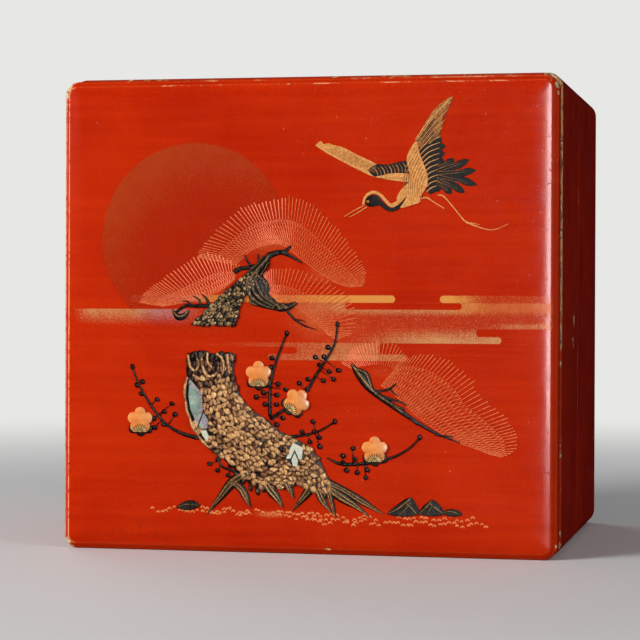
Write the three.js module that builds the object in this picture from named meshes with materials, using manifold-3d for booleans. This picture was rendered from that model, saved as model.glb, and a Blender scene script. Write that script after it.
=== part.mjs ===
// Tiered lacquer box: a lift-off lid and two hollow tiers, stacked along +Y and standing on one long side,
// with the lid's decorated face to the front. Millimetres, +Z up, the origin under the middle of the box.
import * as THREE from "three";
import { mergeVertices } from "three/addons/utils/BufferGeometryUtils.js";
import Module from "manifold-3d";

const wasm = await Module();
wasm.setup();

// Outside of the tiers
const TIER_WIDTH = 253;
const TIER_HEIGHT = 240;
const UPPER_TIER_DEPTH = 83;
const LOWER_TIER_DEPTH = 102;
const CORNER_RADIUS = 7.5;
const INNER_RADIUS = 2.5;
const CORNER_STEPS = 5;

// Rims and the lip that each tier's mouth carries
const RIM_BEVEL = 0.6;
const LIP_HEIGHT = 5;
const LIP_THICKNESS = 2.4;
const LIP_BEVEL = 0.5;
const LIP_HEADROOM = 0.5;
const FIT_CLEARANCE = 0.3;
const NEST_CLEARANCE = 0.4;
const SEAM_GAP = 0.3;

// Floors and foot
const TIER_FLOOR = 6;
const FLOOR_FILLET = 2;
const FOOT_RISE = 3;
const FOOT_WIDTH = 9;

// Lid, a little smaller than the tiers and down on the surface that the stack stands on
const LID_DEPTH = 17;
const LID_SIDE_STEP = 0.5;
const LID_TOP_STEP = 2.2;
const LID_PLATE = 7;
const LID_WALL = 7;
const LID_RIM_WALL = 2.6;
const FACE_CHAMFER = 3.1;
const FACE_CHAMFER_DEPTH = 2.6;
const CROWN_FALL = 1.6;
const CROWN_WIDTH = 24;
const CROWN_POWER = 5;
const CROWN_STEPS = [0, 0.07, 0.16, 0.3, 0.55, 1];

// Raised work on the lid's face. Its points are in hundredths of PICTURE_SPAN: across from the lid's middle
// and up from the picture's ground line.
const PICTURE_SPAN = 200;
const GROUND_HEIGHT = 19;
const BARK_BED = 0.8;
const BARK_RISE = 1.8;
const BARK_PITCH = 7.6;
const BOUGH_PITCH = 5.8;
const TWIG_RISE = 0.9;
const ROOT_RISE = 1.3;
const ROCK_RISE = 1.4;
const EMBED = 1.2;
const LUMP_SIDES = 6;
const ROCK_SIDES = 8;

// Inlaid plates and blossoms
const INLAY_CLEARANCE = 0.3;
const SHELL_THICKNESS = 1.3;
const SHELL_RISE = 1.5;
const BLOSSOM_RADIUS = 6.6;
const BLOSSOM_RISE = 0.9;
const BLOSSOM_DEPTH = 0.8;
const PETALS = 5;
const PETAL_STEPS = 4;

const lipInset = LID_TOP_STEP + LID_RIM_WALL + FIT_CLEARANCE;
const tierWall = lipInset + LIP_THICKNESS;
const rebateDepth = LIP_HEIGHT + LIP_HEADROOM;
const lidWidth = TIER_WIDTH - 2 * LID_SIDE_STEP;
const lidHeight = TIER_HEIGHT - LID_TOP_STEP;
const stackDepth = LID_DEPTH + UPPER_TIER_DEPTH + LOWER_TIER_DEPTH;

// Trunk, roots, boughs and twigs: [across, up, half width] along each line
const TRUNK = [[-23.9, 40.5, 6.5], [-23.6, 33.9, 6.6], [-22.8, 27.3, 7.3], [-20.3, 23, 8.2],
  [-15.5, 19, 8.5], [-10.5, 15.8, 9.2], [-5.5, 11.5, 9.3], [-2.5, 6.8, 7.5]];
const ROOTS = [
  [[-13, 11.5, 2.2], [-19.5, 7.6, 1.5], [-24.5, 1.2, 0.2]],
  [[-14.5, 10, 2], [-13.9, 5.5, 1.5], [-13.6, 1.9, 0.2]],
  [[-9, 9, 2.4], [-7, 5, 1.5], [-5.5, 2, 0.2]],
  [[1.5, 7, 2], [-0.8, 4, 1.2], [-2.6, 1.6, 0.2]],
  [[2, 8, 2.4], [5.5, 4, 1.7], [8.4, 0.2, 0.2]],
  [[3.5, 9.5, 2.6], [12, 4.4, 1.6], [20.5, 1.7, 0.2]]];
const BOUGH = [[-23, 48, 5.3], [-19, 51.5, 5.3], [-15, 56, 4.2], [-11.7, 60.5, 2.6], [-9, 65.6, 1.1]];
const KNEE = [[-12.5, 59.5, 1.9], [-9.7, 54.2, 1.5], [-6, 51.7, 1.2], [-2.3, 52.5, 0.7]];
const PINE_BRANCH = [[12.7, 37.5, 0.4], [14.4, 35.3, 1.4], [17.5, 31.5, 1.2], [25, 26.5, 0.7],
  [33, 21.5, 0.45], [39, 18.6, 0.2]];
const TWIGS = [
  [[-9, 64.4, 0.7], [-12.6, 62.2, 0.5], [-16.7, 62.4, 0.4]],
  [[-9.2, 65, 0.7], [-5, 65.8, 0.5], [-1.3, 63.2, 0.3]],
  [[-24.5, 51.5, 0.5], [-28.5, 52.2, 0.6], [-33.2, 50.8, 0.8]]];

// Rocks: [across, up, half length, half height]
const ROCKS = [[-29.3, 2.3, 3, 1.2], [25, 2.4, 3.3, 2.4], [31.4, 3.2, 3.1, 1.7], [37.4, 2.4, 2.4, 0.9]];

// Inlays: corners of each shell plate, and the blossoms' middles with the turn of each
const SHELLS = {
  shell_long: [[-29.2, 34.1], [-26.1, 30.5], [-25.8, 26], [-27.1, 22.4], [-29, 26.5], [-29.5, 30.1]],
  shell_wedge: [[-25.6, 25.6], [-24.4, 23.8], [-24.6, 21.8], [-26.1, 21.6], [-26.8, 22.3]],
  shell_chip: [[-26.3, 21.1], [-24.9, 21.3], [-24.2, 19.6], [-24.6, 18.4], [-25.8, 19.8]],
  shell_gate: [[-2.6, 18.5], [0, 17.3], [-0.3, 14.4], [-1, 14.4], [-2.1, 16.8], [-3.2, 14.5], [-4.3, 14.5]],
  shell_kite: [[-2.1, 15.9], [-1.3, 14.1], [-1.4, 12.7], [-2.5, 12.6], [-2.9, 14.2]],
};
const BLOSSOMS = {
  blossom_left: [-42.2, 23.5, 0],
  blossom_top: [-11.5, 35.4, 0],
  blossom_right: [-1.7, 28.7, -40],
  blossom_low: [18.1, 17, 0],
};

const red = new THREE.MeshStandardMaterial({ color: 0xb51f08, roughness: 0.25, metalness: 0 });
const redTier = new THREE.MeshStandardMaterial({ color: 0x8f1606, roughness: 0.3, metalness: 0 });
const coral = new THREE.MeshStandardMaterial({ color: 0xf0964f, roughness: 0.45, metalness: 0 });
const pearl = new THREE.MeshStandardMaterial({ color: 0xb9c4bd, roughness: 0.2, metalness: 0.1 });

const onFace = (across, up) => [across * PICTURE_SPAN / 100, GROUND_HEIGHT + up * PICTURE_SPAN / 100];

// A repeatable scatter between -1 and 1
const scatter = (a, b) => Math.sin(a * 12.9898 + b * 78.233 + 1.7);

// A closed body through rings of equally many points, with a flat fan at each end
function loft(rings) {
  const count = rings[0].length;
  const positions = rings.flat();
  const index = [];
  for (let ring = 0; ring + 1 < rings.length; ring += 1) {
    for (let i = 0; i < count; i += 1) {
      const next = (i + 1) % count;
      const [a, b] = [ring * count + i, ring * count + next];
      const [c, d] = [a + count, b + count];
      index.push(a, c, b, b, c, d);
    }
  }
  for (const [ring, flip] of [[0, false], [rings.length - 1, true]]) {
    const middle = positions.length;
    const sum = rings[ring].reduce((total, point) => total.add(point), new THREE.Vector3());
    positions.push(sum.divideScalar(count));
    for (let i = 0; i < count; i += 1) {
      const [a, b] = [ring * count + i, ring * count + (i + 1) % count];
      index.push(middle, flip ? b : a, flip ? a : b);
    }
  }
  const geometry = new THREE.BufferGeometry().setFromPoints(positions);
  geometry.setIndex(index);
  return facingOut(geometry);
}

// The same body with its faces turned outwards if they point in
function facingOut(geometry) {
  const points = geometry.getAttribute("position");
  const index = geometry.getIndex();
  const [a, b, c] = [new THREE.Vector3(), new THREE.Vector3(), new THREE.Vector3()];
  let volume = 0;
  for (let i = 0; i < index.count; i += 3) {
    [a, b, c].forEach((corner, k) => corner.fromBufferAttribute(points, index.getX(i + k)));
    volume += a.dot(b.cross(c));
  }
  if (volume < 0) {
    for (let i = 0; i < index.count; i += 3) {
      const second = index.getX(i + 1);
      index.setX(i + 1, index.getX(i + 2));
      index.setX(i + 2, second);
    }
  }
  return geometry;
}

// A rounded rectangle at one depth, standing on the surface and drawn in on every side by the inset
function ring(width, height, radius, inset, y) {
  const corner = Math.max(radius - inset, INNER_RADIUS);
  const [halfWidth, halfHeight] = [width / 2 - inset, height / 2 - inset];
  const points = [];
  for (let quarter = 0; quarter < 4; quarter += 1) {
    const sideX = quarter === 0 || quarter === 3 ? 1 : -1;
    const sideZ = quarter < 2 ? 1 : -1;
    for (let step = 0; step <= CORNER_STEPS; step += 1) {
      const angle = (quarter + step / CORNER_STEPS) * Math.PI / 2;
      const x = sideX * (halfWidth - corner) + corner * Math.cos(angle);
      const z = height / 2 + sideZ * (halfHeight - corner) + corner * Math.sin(angle);
      points.push(new THREE.Vector3(x, y, z));
    }
  }
  return points;
}

function tier(front, depth, recessInset, recessDepth) {
  const floor = depth - recessDepth - TIER_FLOOR;
  const profile = [
    [tierWall + FLOOR_FILLET, floor],
    [tierWall, floor - FLOOR_FILLET],
    [tierWall, LIP_BEVEL - LIP_HEIGHT],
    [tierWall - LIP_BEVEL, -LIP_HEIGHT],
    [lipInset + LIP_BEVEL, -LIP_HEIGHT],
    [lipInset, LIP_BEVEL - LIP_HEIGHT],
    [lipInset, 0],
    [RIM_BEVEL, 0],
    [0, RIM_BEVEL],
    [0, depth - RIM_BEVEL],
    [RIM_BEVEL, depth],
    [recessInset, depth],
    [recessInset, depth - recessDepth],
  ];
  return loft(profile.map(([inset, y]) => ring(TIER_WIDTH, TIER_HEIGHT, CORNER_RADIUS, inset, front + y)));
}

function plainLid() {
  const ledge = LID_DEPTH - rebateDepth;
  const profile = [
    [LID_WALL + FLOOR_FILLET, LID_PLATE],
    [LID_WALL, LID_PLATE + FLOOR_FILLET],
    [LID_WALL, ledge],
    [LID_RIM_WALL, ledge],
    [LID_RIM_WALL, LID_DEPTH - SEAM_GAP],
    [RIM_BEVEL, LID_DEPTH - SEAM_GAP],
    [0, LID_DEPTH - SEAM_GAP - RIM_BEVEL],
    [0, CROWN_FALL + FACE_CHAMFER_DEPTH],
  ];
  for (const step of CROWN_STEPS) {
    profile.push([FACE_CHAMFER + step * CROWN_WIDTH, CROWN_FALL * (1 - step) ** CROWN_POWER]);
  }
  const radius = CORNER_RADIUS - LID_SIDE_STEP;
  return loft(profile.map(([inset, y]) => ring(lidWidth, lidHeight, radius, inset, y)));
}

// A low ridge that follows a line of [across, up, half width] and sinks as it narrows
function ridge(line, rise, stepsPerPoint) {
  const curve = new THREE.CatmullRomCurve3(line.map((point) => new THREE.Vector3(...point)));
  const widest = Math.max(...line.map((point) => point[2]));
  const samples = (line.length - 1) * stepsPerPoint;
  const rings = [];
  for (let i = 0; i <= samples; i += 1) {
    const station = curve.getPoint(i / samples);
    const along = curve.getTangent(i / samples);
    const length = Math.hypot(along.x, along.y);
    const [x, z] = onFace(station.x, station.y);
    const half = Math.max(station.z, 0.1) * PICTURE_SPAN / 100;
    const top = rise * Math.sqrt(Math.max(station.z, 0.1) / widest);
    rings.push([[-1, EMBED], [-1, 0], [-0.75, -top], [0.75, -top], [1, 0], [1, EMBED]].map(([side, y]) =>
      new THREE.Vector3(x + side * half * along.y / length, y, z - side * half * along.x / length)));
  }
  return loft(rings);
}

// A low faceted mound at a point of the face, longest along its angle
function mound(x, z, halfLength, halfBreadth, angle, rise, sides, seed) {
  const levels = [[1, EMBED], [1, -0.35 * rise], [0.62, -rise]];
  return loft(levels.map(([share, y]) => {
    const points = [];
    for (let i = 0; i < sides; i += 1) {
      const turn = (i / sides) * 2 * Math.PI;
      const reach = share * (1 + 0.12 * scatter(seed, i));
      const [a, b] = [reach * halfLength * Math.cos(turn), reach * halfBreadth * Math.sin(turn)];
      points.push(new THREE.Vector3(
        x + a * Math.cos(angle) - b * Math.sin(angle), y, z + a * Math.sin(angle) + b * Math.cos(angle)));
    }
    return points;
  }));
}

// Rows of bark plates across a trunk or bough, each row shifted against the last
function bark(line, pitch, tallest) {
  const curve = new THREE.CatmullRomCurve3(line.map(([across, up]) => new THREE.Vector3(...onFace(across, up))));
  const widths = new THREE.CatmullRomCurve3(line.map(([, , half]) => new THREE.Vector3(half, 0, 0)));
  const rows = Math.max(2, Math.round(curve.getLength() / (0.8 * pitch)));
  const plates = [];
  for (let row = 0; row < rows; row += 1) {
    const t = (row + 0.5) / rows;
    const middle = curve.getPoint(t);
    const along = curve.getTangent(t);
    const half = widths.getPoint(t).x * PICTURE_SPAN / 100;
    const across = Math.max(1, Math.round((2 * half) / pitch));
    for (let place = 0; place < across; place += 1) {
      const shift = ((place + 0.5 + 0.25 * (row % 2 ? 1 : -1)) / across) * 2 - 1;
      const side = shift * (half - 0.3 * pitch) + 0.1 * pitch * scatter(row, place);
      const rise = tallest * [1, 0.8, 0.92, 0.7][(row + 2 * place) % 4];
      const angle = Math.atan2(along.y, along.x) + 0.35 * scatter(place, row);
      plates.push(mound(middle.x + side * along.y, middle.y - side * along.x, 0.52 * pitch, 0.4 * pitch,
        angle, rise, LUMP_SIDES, row + 7 * place));
    }
  }
  return plates;
}

function toSolid(geometry) {
  const bare = geometry.clone();
  bare.deleteAttribute("normal");
  bare.deleteAttribute("uv");
  const merged = mergeVertices(bare);
  return new wasm.Manifold(new wasm.Mesh({
    numProp: 3,
    vertProperties: new Float32Array(merged.getAttribute("position").array),
    triVerts: new Uint32Array(merged.getIndex().array),
  }));
}

function toGeometry(solid) {
  const mesh = solid.getMesh();
  const geometry = new THREE.BufferGeometry();
  geometry.setAttribute("position", new THREE.BufferAttribute(new Float32Array(mesh.vertProperties), 3));
  geometry.setIndex(new THREE.BufferAttribute(new Uint32Array(mesh.triVerts), 1));
  return geometry;
}

// A plate or pocket of one outline on the face, from its front to its back
function slab(outline, front, back) {
  const shape = new THREE.Shape(outline.map(([x, z]) => new THREE.Vector2(x, z)));
  const geometry = new THREE.ExtrudeGeometry(shape, { depth: back - front, bevelEnabled: false });
  return geometry.rotateX(Math.PI / 2).translate(0, back, 0);
}

// A convex or notched outline, drawn clockwise or not, with every edge moved out by the clearance
function grown(outline, clearance) {
  const turn = Math.sign(THREE.ShapeUtils.area(outline.map(([x, z]) => new THREE.Vector2(x, z))));
  return outline.map((corner, i) => {
    const before = outline[(i + outline.length - 1) % outline.length];
    const after = outline[(i + 1) % outline.length];
    const normals = [[before, corner], [corner, after]].map(([from, to]) => {
      const length = Math.hypot(to[0] - from[0], to[1] - from[1]);
      return [turn * (to[1] - from[1]) / length, -turn * (to[0] - from[0]) / length];
    });
    const spread = 1 + normals[0][0] * normals[1][0] + normals[0][1] * normals[1][1];
    return corner.map((value, k) => value + clearance * (normals[0][k] + normals[1][k]) / spread);
  });
}

// Outline of a blossom of five round petals about its middle
function blossomOutline([across, up, degrees], radius) {
  const [x, z] = onFace(across, up);
  const [reach, petal] = [0.56 * radius, 0.44 * radius];
  const points = [];
  for (let i = 0; i < PETALS * PETAL_STEPS; i += 1) {
    const turn = (i / (PETALS * PETAL_STEPS)) * 2 * Math.PI;
    const fromPetal = ((i + PETAL_STEPS / 2) % PETAL_STEPS - PETAL_STEPS / 2) * 2 * Math.PI / (PETALS * PETAL_STEPS);
    const out = reach * Math.cos(fromPetal) + Math.sqrt(petal ** 2 - (reach * Math.sin(fromPetal)) ** 2);
    const angle = turn + Math.PI / 2 + THREE.MathUtils.degToRad(degrees);
    points.push([x + out * Math.cos(angle), z + out * Math.sin(angle)]);
  }
  return points;
}

function blossom(place) {
  const levels = [[1, BLOSSOM_DEPTH - INLAY_CLEARANCE], [1, -0.5 * BLOSSOM_RISE],
    [0.82, -BLOSSOM_RISE], [0.3, -0.75 * BLOSSOM_RISE]];
  return loft(levels.map(([share, y]) =>
    blossomOutline(place, share * BLOSSOM_RADIUS).map(([x, z]) => new THREE.Vector3(x, y, z))));
}

const shellOutline = (name) => SHELLS[name].map(([across, up]) => onFace(across, up));

function decoratedLid() {
  let lid = toSolid(plainLid());
  const raised = [
    ridge(TRUNK, BARK_BED, 2),
    ridge(BOUGH, BARK_BED, 2),
    ridge(KNEE, BARK_RISE, 2),
    ridge(PINE_BRANCH, TWIG_RISE, 2),
    ...ROOTS.map((root) => ridge(root, ROOT_RISE, 2)),
    ...TWIGS.map((twig) => ridge(twig, TWIG_RISE, 2)),
    ...bark(TRUNK, BARK_PITCH, BARK_RISE),
    ...bark(BOUGH, BOUGH_PITCH, BARK_RISE),
    ...ROCKS.map(([across, up, long, high], i) => mound(...onFace(across, up), long * PICTURE_SPAN / 100,
      high * PICTURE_SPAN / 100, 0, ROCK_RISE, ROCK_SIDES, i)),
  ];
  for (const form of raised) {
    lid = lid.add(toSolid(form));
  }
  for (const name of Object.keys(SHELLS)) {
    const floor = SHELL_THICKNESS - SHELL_RISE + INLAY_CLEARANCE;
    lid = lid.subtract(toSolid(slab(grown(shellOutline(name), INLAY_CLEARANCE), -2 * BARK_RISE, floor)));
  }
  for (const place of Object.values(BLOSSOMS)) {
    const pocket = blossomOutline(place, BLOSSOM_RADIUS + INLAY_CLEARANCE);
    lid = lid.subtract(toSolid(slab(pocket, -2 * BARK_RISE, BLOSSOM_DEPTH)));
  }
  return toGeometry(lid);
}

const box = new THREE.Group();
box.position.y = (BARK_RISE - stackDepth) / 2;

function place(name, geometry, material) {
  const mesh = new THREE.Mesh(geometry, material);
  mesh.name = name;
  box.add(mesh);
}

place("lid", decoratedLid(), red);
const upperDepth = UPPER_TIER_DEPTH - SEAM_GAP;
place("upper_tier", tier(LID_DEPTH, upperDepth, lipInset - NEST_CLEARANCE, rebateDepth), redTier);
place("lower_tier", tier(LID_DEPTH + UPPER_TIER_DEPTH, LOWER_TIER_DEPTH, FOOT_WIDTH, FOOT_RISE), redTier);
for (const name of Object.keys(SHELLS)) {
  place(name, slab(shellOutline(name), -SHELL_RISE, SHELL_THICKNESS - SHELL_RISE), pearl);
}
for (const [name, where] of Object.entries(BLOSSOMS)) {
  place(name, blossom(where), coral);
}

export default box;
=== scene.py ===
"""Looks of the tiered lacquer box: red lacquer with a raised and inlaid picture on the lid.

Metres, +Z up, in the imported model's frame. The box stands on one long side, with the lid's face to -Y.
"""

import math
import random

import bmesh
import bpy
from mathutils import Matrix, Vector


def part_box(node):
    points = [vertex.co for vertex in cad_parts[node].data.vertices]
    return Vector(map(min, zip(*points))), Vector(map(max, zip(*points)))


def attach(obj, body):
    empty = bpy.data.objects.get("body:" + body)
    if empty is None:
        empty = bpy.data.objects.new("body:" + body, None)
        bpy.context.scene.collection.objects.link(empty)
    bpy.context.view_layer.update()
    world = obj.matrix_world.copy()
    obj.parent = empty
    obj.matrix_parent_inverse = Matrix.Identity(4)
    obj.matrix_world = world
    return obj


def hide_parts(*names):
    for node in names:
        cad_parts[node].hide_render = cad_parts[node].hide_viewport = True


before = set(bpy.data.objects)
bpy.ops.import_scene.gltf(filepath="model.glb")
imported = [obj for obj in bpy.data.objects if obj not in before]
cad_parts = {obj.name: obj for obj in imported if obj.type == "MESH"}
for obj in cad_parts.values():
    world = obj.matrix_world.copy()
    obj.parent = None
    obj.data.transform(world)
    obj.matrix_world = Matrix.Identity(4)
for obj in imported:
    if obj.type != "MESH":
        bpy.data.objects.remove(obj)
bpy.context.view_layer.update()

MM = 0.001

# Outside of the tiers
TIER_WIDTH = 253 * MM
TIER_HEIGHT = 240 * MM
UPPER_TIER_DEPTH = 83 * MM
LOWER_TIER_DEPTH = 102 * MM
CORNER_RADIUS = 7.5 * MM
INNER_RADIUS = 2.5 * MM
CORNER_STEPS = 9

# Rims, lips, floors and foot
RIM_BEVEL = 0.6 * MM
RUBBED_RIM = 2.2 * MM
LIP_HEIGHT = 5 * MM
LIP_THICKNESS = 2.4 * MM
LIP_HEADROOM = 0.5 * MM
FIT_CLEARANCE = 0.3 * MM
NEST_CLEARANCE = 0.4 * MM
SEAM_GAP = 0.3 * MM
TIER_FLOOR = 6 * MM
FOOT_RISE = 3 * MM
FOOT_WIDTH = 9 * MM

# Lid
LID_DEPTH = 17 * MM
LID_SIDE_STEP = 0.5 * MM
LID_TOP_STEP = 2.2 * MM
LID_PLATE = 7 * MM
LID_WALL = 7 * MM
LID_RIM_WALL = 2.6 * MM
FACE_CHAMFER = 3.1 * MM
FACE_CHAMFER_DEPTH = 2.6 * MM
ARRIS_ROUNDING = 1.2 * MM
FACE_ROUNDING = 0.7 * MM
CROWN_FALL = 1.6 * MM
CROWN_WIDTH = 24 * MM
CROWN_POWER = 5
CROWN_STEPS = 14

lip_inset = LID_TOP_STEP + LID_RIM_WALL + FIT_CLEARANCE
tier_wall = lip_inset + LIP_THICKNESS
rebate_depth = LIP_HEIGHT + LIP_HEADROOM
lid_width = TIER_WIDTH - 2 * LID_SIDE_STEP
lid_height = TIER_HEIGHT - LID_TOP_STEP

# Picture: points are in hundredths of its span, across from the lid's middle and up from the ground line
PICTURE_SPAN = 200 * MM
GROUND_HEIGHT = 19 * MM
BARK_RISE = 1.8 * MM
UNIT = PICTURE_SPAN / 100

# How far behind the lid's foremost point the picture's colours still hold
PICTURE_DEPTH = 1.9 * MM

face_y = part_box("lid")[0].y + BARK_RISE
upper_tier_y = face_y + LID_DEPTH
lower_tier_y = upper_tier_y + UPPER_TIER_DEPTH

random.seed(11)


def srgb(red, green, blue):
    """A colour as the eye names it, from 0 to 255, in the scene's own light values."""
    def light(value):
        share = value / 255
        return share / 12.92 if share <= 0.04045 else ((share + 0.055) / 1.055) ** 2.4
    return (light(red), light(green), light(blue), 1.0)


def face_depth(x, z):
    """How far back the lid's crowned face lies at a point."""
    inset = min(lid_width / 2 - abs(x), z, lid_height - z)
    inner = min(max((inset - FACE_CHAMFER) / CROWN_WIDTH, 0), 1)
    return face_y + CROWN_FALL * (1 - inner) ** CROWN_POWER


def spot(across, up, out=0.0):
    """A point of the picture, raised off the face."""
    x, z = across * UNIT, GROUND_HEIGHT + up * UNIT
    return Vector((x, face_depth(x, z) - out, z))


def curve(points, steps):
    """A smooth line through points of any width, with that many steps from each point to the next."""
    padded = [points[0], *points, points[-1]]
    line = []
    for before, start, end, after in zip(padded, padded[1:], padded[2:], padded[3:]):
        for step in range(steps):
            t = step / steps
            line.append([
                0.5 * (2 * b + (c - a) * t + (2 * a - 5 * b + 4 * c - d) * t * t + (3 * b - a - 3 * c + d) * t ** 3)
                for a, b, c, d in zip(before, start, end, after)])
    line.append(list(points[-1]))
    return line


def ring_of(points, steps):
    """A smooth closed line through points."""
    return curve([list(point) for point in points + points[:1]], steps)[:-1]


def between(first, second, share):
    """The point at a share of the way from the first to the second."""
    return [a + (b - a) * share for a, b in zip(first, second)]


def along(line, share):
    """The point at a share of a line's steps."""
    place = min(max(share, 0), 1) * (len(line) - 1)
    index = min(int(place), len(line) - 2)
    return between(line[index], line[index + 1], place - index)


# Meshes

def finish_piece(name, bm, materials, smooth=True, replaced=()):
    """Turns a bmesh into a named piece of the box."""
    bmesh.ops.recalc_face_normals(bm, faces=bm.faces)
    mesh = bpy.data.meshes.new(name)
    bm.to_mesh(mesh)
    bm.free()
    for polygon in mesh.polygons:
        polygon.use_smooth = smooth
    for material in materials:
        mesh.materials.append(material)
    piece = bpy.data.objects.new(name, mesh)
    bpy.context.scene.collection.objects.link(piece)
    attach(piece, "root")
    if replaced:
        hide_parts(*replaced)


def loft(bm, rings, material=0):
    """A closed skin through rings of equally many points."""
    ring = bmesh.ops.create_circle(bm, cap_ends=True, segments=len(rings[0]), radius=1.0)["verts"]
    for vert, point in zip(ring, rings[0]):
        vert.co = point
    faces = set(ring[0].link_faces)
    for points in rings[1:]:
        edges = [bm.edges.get((vert, ring[i - 1])) for i, vert in enumerate(ring)]
        made = set(bmesh.ops.extrude_edge_only(bm, edges=edges)["geom"])
        ring = [next(e.other_vert(vert) for e in vert.link_edges if e.other_vert(vert) in made) for vert in ring]
        for vert, point in zip(ring, points):
            vert.co = point
        faces |= {face for face in made if isinstance(face, bmesh.types.BMFace)}
    edges = [bm.edges.get((vert, ring[i - 1])) for i, vert in enumerate(ring)]
    faces |= set(bmesh.ops.edgeloop_fill(bm, edges=edges)["faces"])
    for face in faces:
        face.material_index = material
    return faces


def box_ring(width, height, radius, inset, y):
    """A rounded rectangle at one depth, standing on the surface and drawn in on every side by the inset."""
    corner = max(radius - inset, INNER_RADIUS)
    points = []
    for quarter, (side_x, side_z) in enumerate([(1, 1), (-1, 1), (-1, -1), (1, -1)]):
        for step in range(CORNER_STEPS + 1):
            angle = (quarter + step / CORNER_STEPS) * math.pi / 2
            x = side_x * (width / 2 - inset - corner) + corner * math.cos(angle)
            z = height / 2 + side_z * (height / 2 - inset - corner) + corner * math.sin(angle)
            points.append(Vector((x, y, z)))
    return points


# Sections of a raised line, in its half width and its rise
FLAT = [(-1, -0.3), (-0.8, 1), (0.8, 1), (1, -0.3)]
ROUND = [(-1, -0.3), (-0.86, 0.5), (-0.5, 0.87), (0, 1), (0.5, 0.87), (0.86, 0.5), (1, -0.3)]
BLADE = [(-1, -0.3), (-0.55, 0.4), (0, 1), (0.55, 0.4), (1, -0.3)]
THINNEST = 0.03
PLATE_SINK = 0.2 * MM

# Flakes of bark: size against their spacing, cut corners, and rings as shares of size and rise
FLAKE_SIZE = 0.78
FLAKE_CORNERS = (0.18, 0.82)
FLAKE_RINGS = ((0.99, -0.1), (0.95, 0.6), (0.58, 0.92))
FLAKE_FOOT = 0.4 * MM
FLAKE_LEAN = 0.14


def stroke(bm, line, rise, section, steps=4, material=0, taper=True):
    """A raised line through points of across, up and half width, lower where it is narrower."""
    points = curve(line, steps)
    widest = max(point[2] for point in line)
    rings = []
    for i, (across, up, half) in enumerate(points):
        before, after = points[max(i - 1, 0)], points[min(i + 1, len(points) - 1)]
        run = Vector((after[0] - before[0], after[1] - before[1])).normalized()
        half = max(half, THINNEST)
        top = rise * math.sqrt(half / widest) if taper else rise
        rings.append([spot(across - run.y * half * side, up + run.x * half * side, out * top)
                      for side, out in section])
    loft(bm, rings, material)


def plate(bm, outline, rise, soft, material=0, layer=None, tone=0.0):
    """A low plate of a smooth closed outline, with its top edge drawn in."""
    base = bm.faces.new([bm.verts.new(spot(across, up, -PLATE_SINK)) for across, up in outline])
    bmesh.ops.recalc_face_normals(bm, faces=[base])
    top = bmesh.ops.extrude_face_region(bm, geom=[base], use_keep_orig=True)["geom"]
    for vert in [v for v in top if isinstance(v, bmesh.types.BMVert)]:
        vert.co.y -= rise + PLATE_SINK - soft
    lid = [face for face in top if isinstance(face, bmesh.types.BMFace)]
    rim = bmesh.ops.inset_region(bm, faces=lid, thickness=soft, depth=0, use_even_offset=True)["faces"]
    for vert in {v for face in lid for v in face.verts}:
        vert.co.y -= soft
    faces = {base, *lid, *rim} | {f for v in base.verts for f in v.link_faces}
    for face in faces:
        face.material_index = material
    if layer:
        for vert in {v for face in faces for v in face.verts}:
            vert[layer] = tone


def flake(bm, layer, seed, others, angle, size, stretch, rise, tone):
    """A flake of bark: an oval cut half way to each neighbour, with rounded corners and a crowned, tilted top."""
    middle = Vector((seed.x, seed.z))
    run, side = Vector((math.cos(angle), math.sin(angle))), Vector((-math.sin(angle), math.cos(angle)))
    long, broad = FLAKE_SIZE * stretch * size, FLAKE_SIZE * size
    turns = [step * math.pi / 4 for step in range(8)]
    outline = [run * (long * math.cos(turn)) + side * (broad * math.sin(turn)) for turn in turns]
    for other in others:
        away = Vector((other.x, other.z)) - middle
        across = away - run * away.dot(run) * (1 - stretch ** -2)
        kept = []
        for here, there in zip(outline, outline[1:] + outline[:1]):
            before, after = (here - away / 2).dot(across), (there - away / 2).dot(across)
            if before <= 0:
                kept.append(here)
            if before * after < 0:
                kept.append(here.lerp(there, before / (before - after)))
        outline = kept
    rounded = [here.lerp(there, share) for here, there in zip(outline, outline[1:] + outline[:1])
               for share in FLAKE_CORNERS]
    lean = Vector((random.uniform(-FLAKE_LEAN, FLAKE_LEAN), random.uniform(-FLAKE_LEAN, FLAKE_LEAN))) * rise / size
    rings = [[Vector((middle.x + drawn_in * off.x, seed.y - rise * out - lean.dot(off) * drawn_in,
                      middle.y + drawn_in * off.y)) for off in rounded] for drawn_in, out in FLAKE_RINGS]
    for face in loft(bm, rings):
        for vert in face.verts:
            vert[layer] = tone


def dome(bm, place, long, broad, angle, rise, uneven=0.0, subdivisions=2, material=0):
    """A rounded lump on the face, longest along its angle from the horizontal."""
    turn = Matrix.Translation(place) @ Matrix.Rotation(-angle, 4, "Y") @ Matrix.Diagonal((long, rise, broad, 1))
    verts = bmesh.ops.create_icosphere(bm, subdivisions=subdivisions, radius=1, matrix=Matrix.Identity(4))["verts"]
    for vert in verts:
        vert.co *= 1 + uneven * random.uniform(-1, 1)
    bmesh.ops.transform(bm, matrix=turn, verts=verts)
    for face in {f for v in verts for f in v.link_faces}:
        face.material_index = material


# Material tools

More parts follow.
